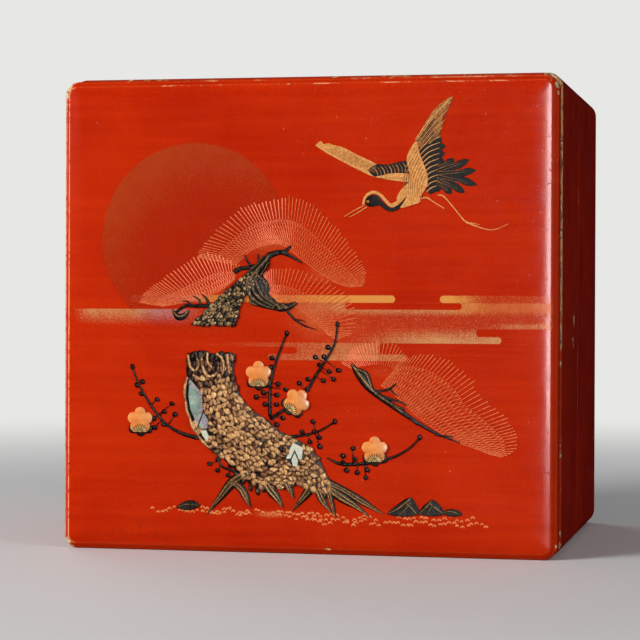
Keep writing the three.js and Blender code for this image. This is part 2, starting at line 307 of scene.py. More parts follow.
class Nodes:
    """Adds nodes to a tree. An input is a socket, a number or a colour, and None leaves it alone."""

    def __init__(self, tree):
        self.tree = tree

    def feed(self, socket, value):
        if isinstance(value, bpy.types.NodeSocket):
            self.tree.links.new(value, socket)
        elif value is not None:
            socket.default_value = value

    def add(self, kind, inputs=None, **settings):
        node = self.tree.nodes.new("ShaderNode" + kind)
        for name, value in settings.items():
            setattr(node, name, value)
        for key, value in (inputs or {}).items():
            self.feed(node.inputs[key], value)
        return node

    def math(self, operation, first, second=None, third=None, clamp=False):
        return self.add("Math", {0: first, 1: second, 2: third}, operation=operation, use_clamp=clamp).outputs[0]

    def times(self, first, *others):
        for other in others:
            first = self.math("MULTIPLY", first, other)
        return first

    def most(self, first, *others):
        """The largest of its values."""
        for other in others:
            first = self.math("MAXIMUM", first, other)
        return first

    def plus(self, value, factor, more, clamp=False):
        """A value times a factor, with more added."""
        return self.math("MULTIPLY_ADD", value, factor, more, clamp)

    def less(self, first, second, clamp=False):
        return self.math("SUBTRACT", first, second, clamp=clamp)

    def vector_math(self, operation, first, second=None):
        node = self.add("VectorMath", {0: first, 1: second}, operation=operation)
        return node.outputs["Value" if operation in ("LENGTH", "DISTANCE", "DOT_PRODUCT") else "Vector"]

    def mapping(self, vector, **values):
        return self.add("Mapping", {"Vector": vector, **values}).outputs[0]

    def parts(self, vector):
        """The three parts of a vector."""
        return self.add("SeparateXYZ", {0: vector}).outputs

    def attribute(self, name):
        return self.add("Attribute", attribute_name=name).outputs["Fac"]

    def step(self, value, low, high, bottom=0.0, top=1.0):
        """Goes smoothly from bottom, where the value is low, to top, where it is high. Low may be the larger."""
        return self.add("MapRange", {0: value, 1: low, 2: high, 3: bottom, 4: top},
                        interpolation_type="SMOOTHSTEP").outputs[0]

    def blend(self, amount, first, second):
        return self.add("Mix", {0: amount, 6: first, 7: second}, data_type="RGBA").outputs[2]

    def noise(self, vector, scale, detail=2.0, roughness=0.5, stretch=None):
        if stretch:
            vector = self.mapping(vector, Scale=stretch)
        return self.add("TexNoise", {"Vector": vector, "Scale": scale, "Detail": detail,
                                     "Roughness": roughness}).outputs[0]

    def ramp(self, value, stops):
        node = self.add("ValToRGB", {0: value})
        elements = node.color_ramp.elements
        while len(elements) < len(stops):
            elements.new(0.5)
        for element, (position, colour) in zip(elements, stops):
            element.position = position
            element.color = colour if isinstance(colour, tuple) else (colour, colour, colour, 1)
        return node.outputs[0]

    def group(self, tree, inputs):
        node = self.add("Group")
        node.node_tree = tree
        for name, value in inputs.items():
            self.feed(node.inputs[name], value)
        return node.outputs


def new_group(name, inputs, outputs=("Mask",)):
    """An empty node group with a vector and more inputs: a number for its default, or the name of a kind."""
    tree = bpy.data.node_groups.new(name, "ShaderNodeTree")
    for label, value in {"Vector": "Vector", **inputs}.items():
        kind = value if isinstance(value, str) else "Float"
        socket = tree.interface.new_socket(label, in_out="INPUT", socket_type="NodeSocket" + kind)
        if kind == "Float":
            socket.default_value = value
    for label in outputs:
        kind = "Color" if label == "Color" else "Float"
        tree.interface.new_socket(label, in_out="OUTPUT", socket_type="NodeSocket" + kind)
    given = tree.nodes.new("NodeGroupInput").outputs
    return tree, Nodes(tree), given["Vector"], given, tree.nodes.new("NodeGroupOutput").inputs


def new_material(name, **values):
    """A material with its shader's constant values set, what adds nodes to it, and its coordinates."""
    material = bpy.data.materials.new(name)
    material.use_nodes = True
    shader = material.node_tree.nodes["Principled BSDF"]
    for label, value in values.items():
        shader.inputs[label.replace("_", " ")].default_value = value
    nodes = Nodes(material.node_tree)
    return material, nodes, shader, nodes.add("TexCoord").outputs["Object"]


def dress(n, shader, colour, rough, height, distance):
    """Feeds the shader its colour and roughness, and a bump from a height."""
    bump = n.add("Bump", {"Height": height, "Distance": distance, "Strength": 1.0}).outputs[0]
    for name, value in (("Base Color", colour), ("Roughness", rough), ("Normal", bump)):
        n.feed(shader.inputs[name], value)


# Shared effects

def lacquer_group():
    """Red lacquer: slow patches, faint level brush lines and fine mottling."""
    tree, n, place, given, out = new_group("Red lacquer", {"Deep": "Color", "Bright": "Color"}, ("Color", "Height"))
    patches = n.noise(place, 14, 3, 0.6)
    lines = n.noise(place, 140, 3, 0.6, stretch=(0.08, 1, 1.6))
    mottle = n.noise(place, 900, 2, 0.6)
    tone = n.plus(lines, 0.35, n.plus(patches, 0.5, n.times(mottle, 0.3)))
    n.feed(out["Color"], n.blend(n.step(tone, 0.38, 0.8), given["Deep"], given["Bright"]))
    waves = n.noise(place, 45, 2, 0.5)
    pits = n.step(n.noise(place, 520, 2, 0.6), 0.34, 0.24)
    n.feed(out["Height"], n.plus(pits, -1.2, n.plus(mottle, 0.4, n.times(waves, 0.8))))
    return tree


def wear_group():
    """Edge wear: the arrises' own measure, broken up by noise into rubbed stretches."""
    tree, n, place, given, out = new_group("Edge wear", {"Edge": 0.0, "Amount": 0.5})
    long = n.noise(place, 38, 3, 0.6)
    fine = n.noise(place, 420, 3, 0.7)
    rubbed = n.plus(long, 1.1, n.times(fine, 0.9))
    level = n.less(1.75, given["Amount"])
    worn = n.step(n.plus(given["Edge"], 0.55, rubbed), level, n.math("ADD", level, 0.16))
    n.feed(out["Mask"], n.times(worn, n.step(given["Edge"], 0.0, 0.5)))
    return tree


def chip_group():
    """One ragged chip in the lacquer round a point."""
    tree, n, place, given, out = new_group("Chip", {"Middle": "Vector", "Radius": 0.003})
    away = n.math("DIVIDE", n.vector_math("DISTANCE", place, given["Middle"]), given["Radius"])
    ragged = n.noise(place, 700, 3, 0.7)
    n.feed(out["Mask"], n.step(n.math("ADD", away, n.times(ragged, 1.5)), 1.75, 1.6))
    return tree


def dust_group():
    """Sprinkled gold powder: grains thin out as the density falls."""
    tree, n, place, given, out = new_group("Gold dust", {"Density": 0.5, "Grain": 1500.0})
    grains = n.noise(place, given["Grain"], 1.5, 0.65)
    drift = n.noise(place, 110, 3, 0.6)
    density = n.times(given["Density"], n.plus(drift, 0.9, 0.55))
    bare = n.plus(density, -0.5, 0.74)
    speck = n.step(grains, n.less(bare, 0.13), n.math("ADD", bare, 0.1))
    both = n.plus(speck, 0.65, n.times(density, 0.4))
    n.feed(out["Mask"], n.math("MULTIPLY", both, n.step(given["Density"], 0, 0.12), clamp=True))
    return tree


def bar_group():
    """A level bar of the mist with round ends, in the picture's units."""
    names = ["Left", "Right", "Low", "High", "Soft"]
    tree, n, place, given, out = new_group("Mist bar", {name: 0.1 for name in names})
    across, _, up = n.parts(place)
    radius = n.times(n.less(given["High"], given["Low"]), 0.5)
    middle = n.times(n.math("ADD", given["High"], given["Low"]), 0.5)
    past_left = n.less(n.math("ADD", given["Left"], radius), across)
    past_right = n.less(across, n.less(given["Right"], radius))
    beyond = n.most(past_left, past_right, 0)
    off = n.less(up, middle)
    away = n.less(n.math("SQRT", n.math("ADD", n.times(beyond, beyond), n.times(off, off))), radius)
    n.feed(out["Mask"], n.step(away, given["Soft"], n.times(given["Soft"], -1)))
    return tree


def relief_group():
    """How far a point stands off the lid's face, as a share of the tallest relief."""
    tree, n, place, given, out = new_group("Relief", {"Rise": BARK_RISE}, ("Share",))
    n.feed(out["Share"], n.math("DIVIDE", n.less(face_y, n.parts(place)[1]), given["Rise"], clamp=True))
    return tree


LACQUER, WEAR, CHIP = lacquer_group(), wear_group(), chip_group()
DUST, BAR, RELIEF = dust_group(), bar_group(), relief_group()

# How low bare ground lies, measured by the lacquer's mottling
BARE_HEIGHT = -2.5

LID_REDS = {"Deep": srgb(178, 29, 0), "Bright": srgb(203, 46, 3)}
TIER_REDS = {"Deep": srgb(140, 17, 2), "Bright": srgb(176, 30, 6)}
GROUND_CREAM = srgb(233, 205, 150)
RAW_BROWN = srgb(96, 30, 12)
# Arris colours: a paler red that is partly wear and partly painted sheen, and a pale pink that is painted highlight
# on the left arris and partly wear along the top
SHEEN_AND_RUBBED_RED = srgb(222, 68, 24)
HIGHLIGHT_AND_RUBBED_PINK = srgb(246, 166, 116)
RUBBED_BROWN = srgb(186, 70, 30)
SCUFF_BROWN = srgb(92, 40, 22)
SUN_RED = srgb(167, 31, 4)
SUN_GOLD = srgb(206, 118, 44)
GOLD = srgb(228, 146, 62)
PALE_GOLD = srgb(212, 150, 92)
FAR_GOLD = srgb(208, 112, 48)
MIST_VIOLET = srgb(186, 128, 122)
HAZE_GOLD = srgb(214, 110, 58)

# Sun, mist and powder of the lid's picture, in its units
SUN_ACROSS, SUN_UP, SUN_RADIUS = -28.2, 69.2, 24.2
SUN_EDGE = 0.25
MIST_EDGE = 0.12
MIST_TOP_BARS = [(-45, 23.0), (34.2, 90)]
MIST_TOP, MIST_SHELF, MIST_STEP, MIST_TONGUE = 55.2, 53.4, 51.7, 47.0
MIST_FOOT, MIST_BASE, MIST_LOW, MIST_LOWEST = 45.1, 43.4, 40.6, 39.0
MIST_SLOTS = [(10.4, 39.6, MIST_STEP, MIST_SHELF), (43.2, 120, MIST_FOOT, MIST_TONGUE)]

# Soft powder where each fan of needles springs from its branch: across, up, reach across, reach up, strength
NEEDLE_HAZES = [(-9, 68.5, 9.5, 4.2, 0.3), (6, 60.5, 8, 3.4, 0.3), (-28, 55.5, 11, 2.8, 0.34),
                (2.5, 49.5, 8.5, 6, 0.36), (29, 29, 7.5, 5, 0.24), (41, 20.8, 7, 2.8, 0.28),
                (20, 36.4, 5, 2.4, 0.16), (-8.6, 0.4, 5, 1.1, 0.6)]

# Chips in the lacquer, in millimetres: place and radius
LID_CHIPS = [(-125.2, -98, 236, 3.6), (-126, -97.5, 231, 2.6), (-126, -97, 226.5, 1.5), (-125, -98, 3, 3.2),
             (-125.6, -98, 8, 1.3), (125.8, -96, 7, 1), (122.8, -98.4, 236.6, 1.9), (125.7, -96, 232.6, 2),
             (125.9, -95.5, 228.6, 1.1), (118.8, -99, 237.2, 1)]
TIER_CHIPS = [(126.5, -22, 117, 3.2), (126.5, -27, 107, 1.6), (126.5, -24, 104, 1.4), (126, -83, 6, 1.9),
              (126.5, -82, 12, 1.4), (126.5, -82.6, 160, 2.5), (126.5, -82.6, 206, 2), (126.5, -82.8, 96, 1.6),
              (126.5, -82.8, 51, 1.5)]


def chips(n, place, wanted):
    """The chips round the given points, as one mask."""
    return n.most(*[n.group(CHIP, {"Vector": place, "Middle": (x * MM, y * MM, z * MM), "Radius": radius * MM})[0]
                    for x, y, z, radius in wanted])


def dust(n, place, density, grain):
    return n.group(DUST, {"Vector": place, "Density": density, "Grain": grain})[0]


def sunlit(n, place, units, front, colour):
    """The sun: browner than the ground, with gold powder thickest along its upper left rim."""
    flat = n.vector_math("MULTIPLY", n.vector_math("SUBTRACT", units, (SUN_ACROSS, 0, SUN_UP)), (1, 0, 1))
    distance = n.vector_math("LENGTH", flat)
    disc = n.step(distance, SUN_RADIUS + SUN_EDGE, SUN_RADIUS - SUN_EDGE)
    lit = n.math("DIVIDE", n.vector_math("DOT_PRODUCT", flat, (-0.5, 0, 0.8)), SUN_RADIUS)
    rim = n.step(distance, SUN_RADIUS * 0.3, SUN_RADIUS)
    density = n.times(n.step(n.plus(rim, 0.7, lit), 0.0, 1.7, 0.1, 0.6), disc)
    colour = n.blend(n.times(disc, front, n.step(lit, -0.85, -0.1, 0.15, 0.8)), colour, SUN_RED)
    powder = dust(n, place, density, 1900.0)
    return n.blend(n.times(powder, front, 0.2), colour, SUN_GOLD), powder


def misted(n, place, units, front, colour):
    """The mist: bars and slots with round ends, sprinkled from their sharp edges."""
    across, _, up = n.parts(units)

    def bar(left, right, low, high):
        return n.group(BAR, {"Vector": units, "Left": left, "Right": right, "Low": low, "High": high,
                             "Soft": MIST_EDGE})[0]

    def outside(left, right, low, high):
        return n.less(1.0, bar(left, right, low, high), clamp=True)

    def band(low, high):
        return n.times(n.step(up, low - MIST_EDGE, low + MIST_EDGE), n.step(up, high + MIST_EDGE, high - MIST_EDGE))

    top_left = n.times(bar(*MIST_TOP_BARS[0], MIST_SHELF, MIST_TOP),
                       n.ramp(n.step(across, -40, 24), [(0, 0.1), (0.12, 0.52), (0.62, 0.58), (0.9, 1.0)]))
    top_right = n.times(bar(*MIST_TOP_BARS[1], MIST_SHELF, MIST_TOP), n.step(across, 35, 45, 0.95, 0.24))
    slots = n.most(*[bar(*slot) for slot in MIST_SLOTS])
    body = n.times(band(MIST_FOOT, MIST_SHELF), n.less(1.0, slots, clamp=True))
    body = n.most(body, bar(-90, 49.4, MIST_BASE, MIST_FOOT))
    under_top = n.times(n.step(up, 49.6, 51.7, 0.12, 0.5), n.step(across, -10, 14, 0.45, 1.0))
    right_block = n.times(n.step(across, 37, 42), n.step(up, 47.5, 53, 0.1, 0.24))
    over_base = n.times(n.step(up, 48.4, 43.8, 0.08, 0.62), n.step(across, 6, 34, 0.12, 1.0))
    cloud = n.times(n.step(across, 42, 52), n.step(n.math("ABSOLUTE", n.less(up, 47.6)), 1.6, 0.2, 0, 0.34))
    body = n.times(body, n.step(across, -14, 6), n.most(under_top, right_block, over_base, cloud))
    low_body = n.times(band(MIST_LOW, MIST_BASE), outside(-90, -1.75, MIST_LOW, 42.3),
                       outside(18.9, 120, MIST_LOW, MIST_BASE), n.step(across, -26, 16, 0.04, 0.42))
    tongue = n.times(bar(-9.3, 25.9, MIST_LOWEST, MIST_LOW), n.step(across, -9, 16, 0.26, 0.54))
    left_band = n.times(n.step(up, 46.6, 51.6, 0.0, 0.55), n.step(up, 51.75, 51.55),
                        n.step(across, -62, -54), n.step(across, -24, -33))
    golden = n.most(top_left, top_right)
    mist = dust(n, place, n.most(golden, body, low_body, tongue, left_band), 2200.0)
    warm = n.most(n.step(golden, 0.2, 0.6), n.times(n.step(across, 34, 46), n.step(up, 48.8, 51)))
    violet = n.times(n.step(across, -46, -36), n.step(across, -24, -32))
    gold = n.blend(warm, PALE_GOLD, n.blend(n.step(across, 40, 48), GOLD, FAR_GOLD))
    return n.blend(n.times(mist, front), colour, n.blend(violet, gold, MIST_VIOLET)), mist


def hazed(n, place, units, front, colour):
    """Soft powder under the needles."""
    clouds = []
    for x, z, reach_x, reach_z, strength in NEEDLE_HAZES:
        off = n.mapping(units, Location=(-x / reach_x, 0, -z / reach_z), Scale=(1 / reach_x, 0, 1 / reach_z))
        clouds.append(n.step(n.vector_math("LENGTH", off), 1.15, 0.1, 0, strength))
    return n.blend(n.times(dust(n, place, n.most(*clouds), 1700.0), front), colour, HAZE_GOLD)


def scuffed(n, place, units, front, colour):
    """Scuffs low on the left, where the surface has been rubbed dark."""
    across, _, up = n.parts(units)
    marks = n.times(n.step(n.noise(place, 230, 4, 0.75), 0.54, 0.66),
                    n.step(n.math("ABSOLUTE", n.math("ADD", across, 44)), 13, 3),
                    n.step(n.math("ABSOLUTE", n.math("ADD", up, 3)), 6.5, 1))
    return n.blend(n.times(marks, front, 0.42), colour, SCUFF_BROWN)


def arrises_painted_sheen_and_wear(n, place, edge, colour):
    """Arrises paler, partly from rubbed wear and partly as painted sheen, with a painted highlight line along the
    left arris and pale streaks along the top arris that are partly wear and partly painted highlight.
    """
    x, _, z = n.parts(place)
    # Paler red on every arris: partly rubbed wear, partly painted sheen where the chamfers catch light
    colour = n.blend(n.step(edge, 0.0, 1.0, 0.0, 0.5), colour, SHEEN_AND_RUBBED_RED)
    # Pale pink in streaks along the top arris, partly wear and partly painted highlight, and as a painted highlight
    # line along the left arris
    streaks = n.times(n.step(z, 233 * MM, 235 * MM),
                      n.step(n.noise(place, 60, 4, 0.75, stretch=(1, 1, 3)), 0.5, 0.6))
    bright = n.times(n.most(streaks, n.step(x, -119 * MM, -121 * MM)), n.step(edge, 0.45, 0.8),
                     n.step(n.noise(place, 420, 3, 0.7), 0.36, 0.5))
    return n.blend(n.times(bright, 0.75), colour, HIGHLIGHT_AND_RUBBED_PINK)


def lid_material():
    material, n, shader, place = new_material("lid_lacquer", Specular_IOR_Level=0.3)
    x, y, z = n.parts(place)
    units = n.mapping(place, Scale=(1 / UNIT, 1 / UNIT, 1 / UNIT), Location=(0, 0, -GROUND_HEIGHT / UNIT))
    front = n.step(y, face_y + FACE_CHAMFER_DEPTH, face_y + PICTURE_DEPTH)
    edge = n.attribute("edge")

    lacquer = n.group(LACQUER, {"Vector": place, **LID_REDS})
    colour, sun_dust = sunlit(n, place, units, front, lacquer["Color"])
    colour, mist = misted(n, place, units, front, colour)
    colour = hazed(n, place, units, front, colour)
    colour = scuffed(n, place, units, front, colour)
    # Arrises: paler as wear and painted sheen, with painted highlights along the left and top
    colour = arrises_painted_sheen_and_wear(n, place, edge, colour)

    # The rim over the seam is barest along its upper right
    rim = n.times(n.step(y, upper_tier_y - 3.6 * MM, upper_tier_y - 1.4 * MM),
                  n.times(n.step(x, 116 * MM, 122 * MM), n.step(z, 95 * MM, 150 * MM)))
    worn = n.group(WEAR, {"Vector": place, "Edge": edge, "Amount": n.plus(rim, 0.8, 0.12)})[0]
    chipped = chips(n, place, LID_CHIPS)
    bare = n.most(worn, chipped)
    rubbed = n.blend(n.step(n.noise(place, 500, 2), 0.4, 0.62), GROUND_CREAM, RAW_BROWN)
    colour = n.blend(bare, colour, n.blend(n.times(chipped, 0.75), rubbed, GROUND_CREAM))

    powder = n.times(n.most(mist, n.times(sun_dust, 0.6)), front)
    rough = n.plus(powder, 0.25, n.step(n.noise(place, 70, 4, 0.7), 0.3, 0.75, 0.2, 0.28))
    n.feed(shader.inputs["Metallic"], n.times(powder, 0.12))
    dress(n, shader, colour, n.plus(bare, 0.4, rough, clamp=True),
          n.plus(bare, BARE_HEIGHT, n.plus(powder, 0.25, lacquer["Height"])), 0.00008)
    return material


def tier_material():
    material, n, shader, place = new_material("tier_lacquer", Specular_IOR_Level=0.34)
    x, y, z = n.parts(place)
    lacquer = n.group(LACQUER, {"Vector": place, **TIER_REDS})
    edge = n.attribute("edge")
    # The rim under the lid is bare along the upper right, and rubbed in places elsewhere
    rim = n.times(n.step(y, upper_tier_y + 3 * MM, upper_tier_y + 1 * MM),
                  n.times(n.step(x, 116 * MM, 122 * MM), n.step(z, 95 * MM, 125 * MM)))
    worn = n.group(WEAR, {"Vector": place, "Edge": edge, "Amount": n.plus(rim, 1.0, 0.12)})[0]
    chipped = chips(n, place, TIER_CHIPS)
    rubbed = n.ramp(n.noise(place, 330, 4, 0.75, stretch=(1, 1, 0.3)),
                    [(0.38, srgb(40, 30, 24)), (0.45, srgb(140, 122, 98)), (0.5, srgb(222, 184, 124)),
                     (0.57, srgb(196, 124, 60)), (0.66, srgb(110, 50, 28))])
    colour = n.blend(n.step(edge, 0.0, 1.0, 0.0, 0.35), lacquer["Color"], RUBBED_BROWN)
    inside = n.blend(n.step(n.noise(place, 900, 2), 0.42, 0.58), srgb(40, 14, 8), GROUND_CREAM)
    colour = n.blend(chipped, n.blend(worn, colour, rubbed), inside)
    bare = n.most(worn, chipped)
    rough = n.plus(bare, 0.35, n.step(n.noise(place, 60, 4, 0.7), 0.3, 0.75, 0.28, 0.4), clamp=True)
    dress(n, shader, colour, rough, n.plus(bare, BARE_HEIGHT, lacquer["Height"]), 0.00006)
    return material


def black_material():
    """Black lacquer of the insides and of the base, with a few fine scratches."""
    material, n, shader, place = new_material("black_lacquer", Specular_IOR_Level=0.4, Coat_Weight=0.3)
    colour = n.blend(n.step(n.noise(place, 30, 4, 0.65), 0.35, 0.7), srgb(18, 12, 11), srgb(38, 24, 20))
    rough = n.step(n.noise(place, 160, 4, 0.7, stretch=(0.2, 1, 1)), 0.3, 0.7, 0.24, 0.4)
    dress(n, shader, colour, rough, n.noise(place, 50, 2), 0.00005)
    return material


def bark_material(name, low, mid, high, rise, shine):
    """Built-up lacquer under gold powder, each lump with its own tone: painted shade darkens it down into the gaps
    and painted highlight lightens its crests, and painted glints make bright grains on the crests where the powder
    is thick."""
    material, n, shader, place = new_material(name, Specular_IOR_Level=0.6, Metallic=0.2)
    share = n.group(RELIEF, {"Vector": place, "Rise": rise})[0]
    grain = n.noise(place, 1500, 3, 0.7)
    fibres = n.noise(place, 620, 4, 0.7, stretch=(1, 1, 0.45))
    # Height off the face acts as painted shade in the gaps and painted highlight on the crests, laid over each
    # lump's own tone and fibres
    tone_and_painted_shade = n.plus(n.less(n.attribute("tone"), 0.5), 0.55, share)
    tone_and_painted_shade = n.plus(n.less(fibres, 0.5), 1.5, tone_and_painted_shade)
    colour = n.ramp(tone_and_painted_shade, [(0.28, low), (0.58, mid), (1.0, high)])
    colour = n.blend(n.step(grain, 0.54, 0.68, 0, 0.7), colour, low)
    # Painted glints: bright specks on the crests
    painted_glints = n.times(n.step(grain, 0.47, 0.35), n.step(tone_and_painted_shade, 0.45, 0.8))
    colour = n.blend(n.times(painted_glints, 0.85), colour, srgb(250, 222, 168))
    dress(n, shader, colour, n.step(grain, 0.3, 0.7, shine, shine + 0.2), n.plus(fibres, 1.2, grain), 0.0003)
    return material


def paint_material(name, first, second, roughness, metallic=0.2, scale=900):
    """Gold or black painting lacquer with a fine powdery grain."""
    material, n, shader, place = new_material(name, Metallic=metallic, Specular_IOR_Level=0.4)
    grain = n.noise(place, scale, 3, 0.7)
    dress(n, shader, n.blend(n.step(grain, 0.38, 0.62), first, second),
          n.step(grain, 0.3, 0.7, roughness, roughness + 0.15), grain, 0.00005)
    return material


def petal_material():
    """Blossom inlay: warm orange, lighter at the petals' rims and clouded like a polished stone."""
    material, n, shader, place = new_material("blossom_inlay", Specular_IOR_Level=0.4, Coat_Weight=0.2)
    cloud = n.noise(place, 420, 4, 0.6)
    colour = n.blend(n.step(cloud, 0.35, 0.7), srgb(222, 124, 56), srgb(240, 150, 76))
    colour = n.blend(n.step(n.attribute("tone"), 0.3, 1.0, 0.0, 0.45), colour, srgb(246, 172, 100))
    dress(n, shader, colour, n.step(cloud, 0.3, 0.7, 0.34, 0.5), cloud, 0.0001)
    return material


def shell_material(name, stops, seed):
    """Mother-of-pearl: soft bands of green, silver and violet under a polished surface."""
    material, n, shader, place = new_material(name, Metallic=0.1, Coat_Weight=0.5, Coat_Roughness=0.05)
    moved = n.mapping(place, Location=(seed, 0, seed), Rotation=(0, 0.5, 0))
    growth = n.noise(moved, 1500, 2, 0.5, stretch=(0.15, 1, 1))
    colour = n.ramp(n.noise(moved, 120, 3, 0.55, stretch=(1, 1, 0.6)), stops)
    colour = n.blend(n.step(growth, 0.4, 0.7, 0, 0.25), colour, srgb(245, 240, 225))
    dress(n, shader, colour, n.step(growth, 0.3, 0.7, 0.16, 0.3), growth, 0.00004)
    return material


lid_lacquer, tier_lacquer, black_lacquer = lid_material(), tier_material(), black_material()
bark_gold = bark_material("bark_gold", srgb(38, 16, 6), srgb(144, 88, 46), srgb(236, 176, 110), BARK_RISE, 0.24)
bough_gold = bark_material("bough_gold", srgb(12, 7, 3), srgb(58, 37, 17), srgb(176, 136, 84), BARK_RISE, 0.2)
dark_wood = bark_material("dark_wood", srgb(14, 8, 4), srgb(46, 29, 14), srgb(112, 80, 44), 1.7 * MM, 0.28)
twig_dark = bark_material("twig_dark", srgb(8, 3, 2), srgb(24, 10, 6), srgb(72, 42, 26), 2.2 * MM, 0.24)
streak_gold = paint_material("streak_gold", srgb(92, 62, 30), srgb(190, 142, 84), 0.33, 0.3, 1400)
knot_gold = bark_material("knot_gold", srgb(24, 13, 6), srgb(96, 64, 32), srgb(190, 146, 92), 1.6 * MM, 0.28)
needle_gold = paint_material("needle_gold", srgb(214, 88, 42), srgb(240, 126, 72), 0.45)
feather_gold = paint_material("feather_gold", srgb(214, 138, 66), srgb(236, 166, 92), 0.4)
feather_brown = paint_material("feather_brown", srgb(128, 76, 32), srgb(184, 120, 60), 0.42)
feather_black = paint_material("feather_black", srgb(8, 6, 5), srgb(20, 14, 11), 0.4, 0.0)
ground_gold = paint_material("ground_gold", srgb(222, 106, 48), srgb(246, 150, 84), 0.45)
heart_gold = paint_material("heart_gold", srgb(216, 168, 92), srgb(238, 200, 130), 0.4)
petal_coral = petal_material()
abalone = shell_material("abalone", [(0.34, srgb(128, 158, 138)), (0.44, srgb(176, 190, 164)),
                                     (0.5, srgb(160, 132, 156)), (0.58, srgb(122, 142, 130)),
                                     (0.7, srgb(150, 180, 160))], 0.31)
white_shell = shell_material("white_shell", [(0.3, srgb(210, 214, 190)), (0.5, srgb(232, 226, 204)),
                                             (0.66, srgb(190, 206, 180))], 0.12)


# The box: lid and tiers

EDGE_SPREAD = 1.6 * MM
NICK_DEPTH = 0.9 * MM
ROUNDING_STEPS = 3
ROUNDING_SHARE = 0.4
MARGIN_SHARE = 0.48
MARGIN_CUTS = 1.6
FLOOR_MARGIN = 2 * MM
RED, BLACK = 0, 1


def worn_profile(corners):
    """The profile with each corner rounded. Corners are (inset, y, wear, material, rounding); the wear, which on the
    lid also places painted sheen and highlights, fades to nothing on the flats beside a corner, and a corner with no
    rounding stays as it is."""
    points = [corners[0][:4]]
    for before, corner, after in zip(corners, corners[1:], corners[2:]):
        middle, wear, material, radius = Vector(corner[:2]), corner[2], corner[3], corner[4]
        if not radius:
            points.append(corner[:4])
            continue
        back, on = Vector(before[:2]) - middle, Vector(after[:2]) - middle
        cut = min(radius, ROUNDING_SHARE * back.length, ROUNDING_SHARE * on.length)
        margins = [min(max(EDGE_SPREAD, MARGIN_CUTS * cut), MARGIN_SHARE * side.length) for side in (back, on)]
        start, end = middle + back.normalized() * cut, middle + on.normalized() * cut
        points.append((*(middle + back.normalized() * margins[0]), 0, before[3]))
        for step in range(ROUNDING_STEPS + 1):
            t = step / ROUNDING_STEPS
            points.append((*((1 - t) ** 2 * start + 2 * t * (1 - t) * middle + t * t * end), wear, material))
        points.append((*(middle + on.normalized() * margins[1]), 0, material))
    points.append(corners[-1][:4])
    return points


def box_piece(name, node, size, radius, front, corners, materials, nicks=()):
    """A lid or tier swept round its profile, with its wear kept for the material, which on the lid also places
    painted sheen from it.
    """
    points = worn_profile(corners)
    rings = [[nicked(point, nicks) for point in box_ring(*size, radius, inset, front + y)]
             for inset, y, _, _ in points]
    bm = bmesh.new()
    loft(bm, rings)
    bm.verts.index_update()
    layer = bm.verts.layers.float.new("edge")
    count = len(rings[0])
    for vert in bm.verts:
        vert[layer] = points[vert.index // count][2]
    for face in bm.faces:
        face.material_index = points[min(vert.index for vert in face.verts) // count][3]
    finish_piece(name, bm, materials, replaced=[node])


def nicked(point, nicks):
    """The point, drawn in towards the lid's middle where a corner is chipped."""
    for x, y, z, radius in nicks:
        away = (point - Vector((x, y, z)) * MM).length / (radius * MM)
        if away < 1:
            inward = Vector((-math.copysign(1, x), 0.6, 1 if z * MM < TIER_HEIGHT / 2 else -1)).normalized()
            point = point + inward * NICK_DEPTH * (1 - away)
    return point


def make_lid():
    ledge, rim = LID_DEPTH - rebate_depth, LID_DEPTH - SEAM_GAP
    # The third value places wear, and on this lid also painted sheen and highlights
    corners = [
        (LID_WALL + FLOOR_MARGIN, LID_PLATE, 0, BLACK, 0),
        (LID_WALL, LID_PLATE + FLOOR_MARGIN, 0, BLACK, RIM_BEVEL),
        (LID_WALL, ledge, 0, BLACK, RIM_BEVEL),
        (LID_RIM_WALL, ledge, 0, BLACK, RIM_BEVEL),
        (LID_RIM_WALL, rim, 0.6, RED, RIM_BEVEL),
        (0, rim, 1, RED, RIM_BEVEL),
        (0, CROWN_FALL + FACE_CHAMFER_DEPTH, 0.75, RED, ARRIS_ROUNDING),
        (FACE_CHAMFER, CROWN_FALL, 0.85, RED, FACE_ROUNDING)]
    for step in range(1, CROWN_STEPS + 1):
        share = (step / CROWN_STEPS) ** 1.5
        wear = max(0, 0.6 - share * CROWN_WIDTH / EDGE_SPREAD)
        corners.append((FACE_CHAMFER + share * CROWN_WIDTH, CROWN_FALL * (1 - share) ** CROWN_POWER, wear, RED, 0))
    box_piece("lid_shell", "lid", (lid_width, lid_height), CORNER_RADIUS - LID_SIDE_STEP,
              face_y, corners, [lid_lacquer, black_lacquer], LID_CHIPS)


def make_tier(name, node, front, depth, recess_inset, recess_depth, rim_rounding):
    floor = depth - recess_depth - TIER_FLOOR
    corners = [
        (tier_wall + FLOOR_MARGIN, floor, 0, BLACK, 0),
        (tier_wall, floor - FLOOR_MARGIN, 0, BLACK, RIM_BEVEL),
        (tier_wall, -LIP_HEIGHT, 0, BLACK, RIM_BEVEL),
        (lip_inset, -LIP_HEIGHT, 0, BLACK, RIM_BEVEL),
        (lip_inset, 0, 0.3, RED, RIM_BEVEL),
        (0, 0, 1, RED, rim_rounding),
        (0, depth, 0.9, RED, RIM_BEVEL),
        (recess_inset, depth, 0.7, BLACK, RIM_BEVEL),
        (recess_inset, depth - recess_depth, 0, BLACK, RIM_BEVEL),
        (recess_inset + FLOOR_MARGIN, depth - recess_depth, 0, BLACK, 0)]
    box_piece(name, node, (TIER_WIDTH, TIER_HEIGHT), CORNER_RADIUS, front, corners,
              [tier_lacquer, black_lacquer])


# Picture, in its own units: [across, up, half width] along each line, or the two edges of a limb

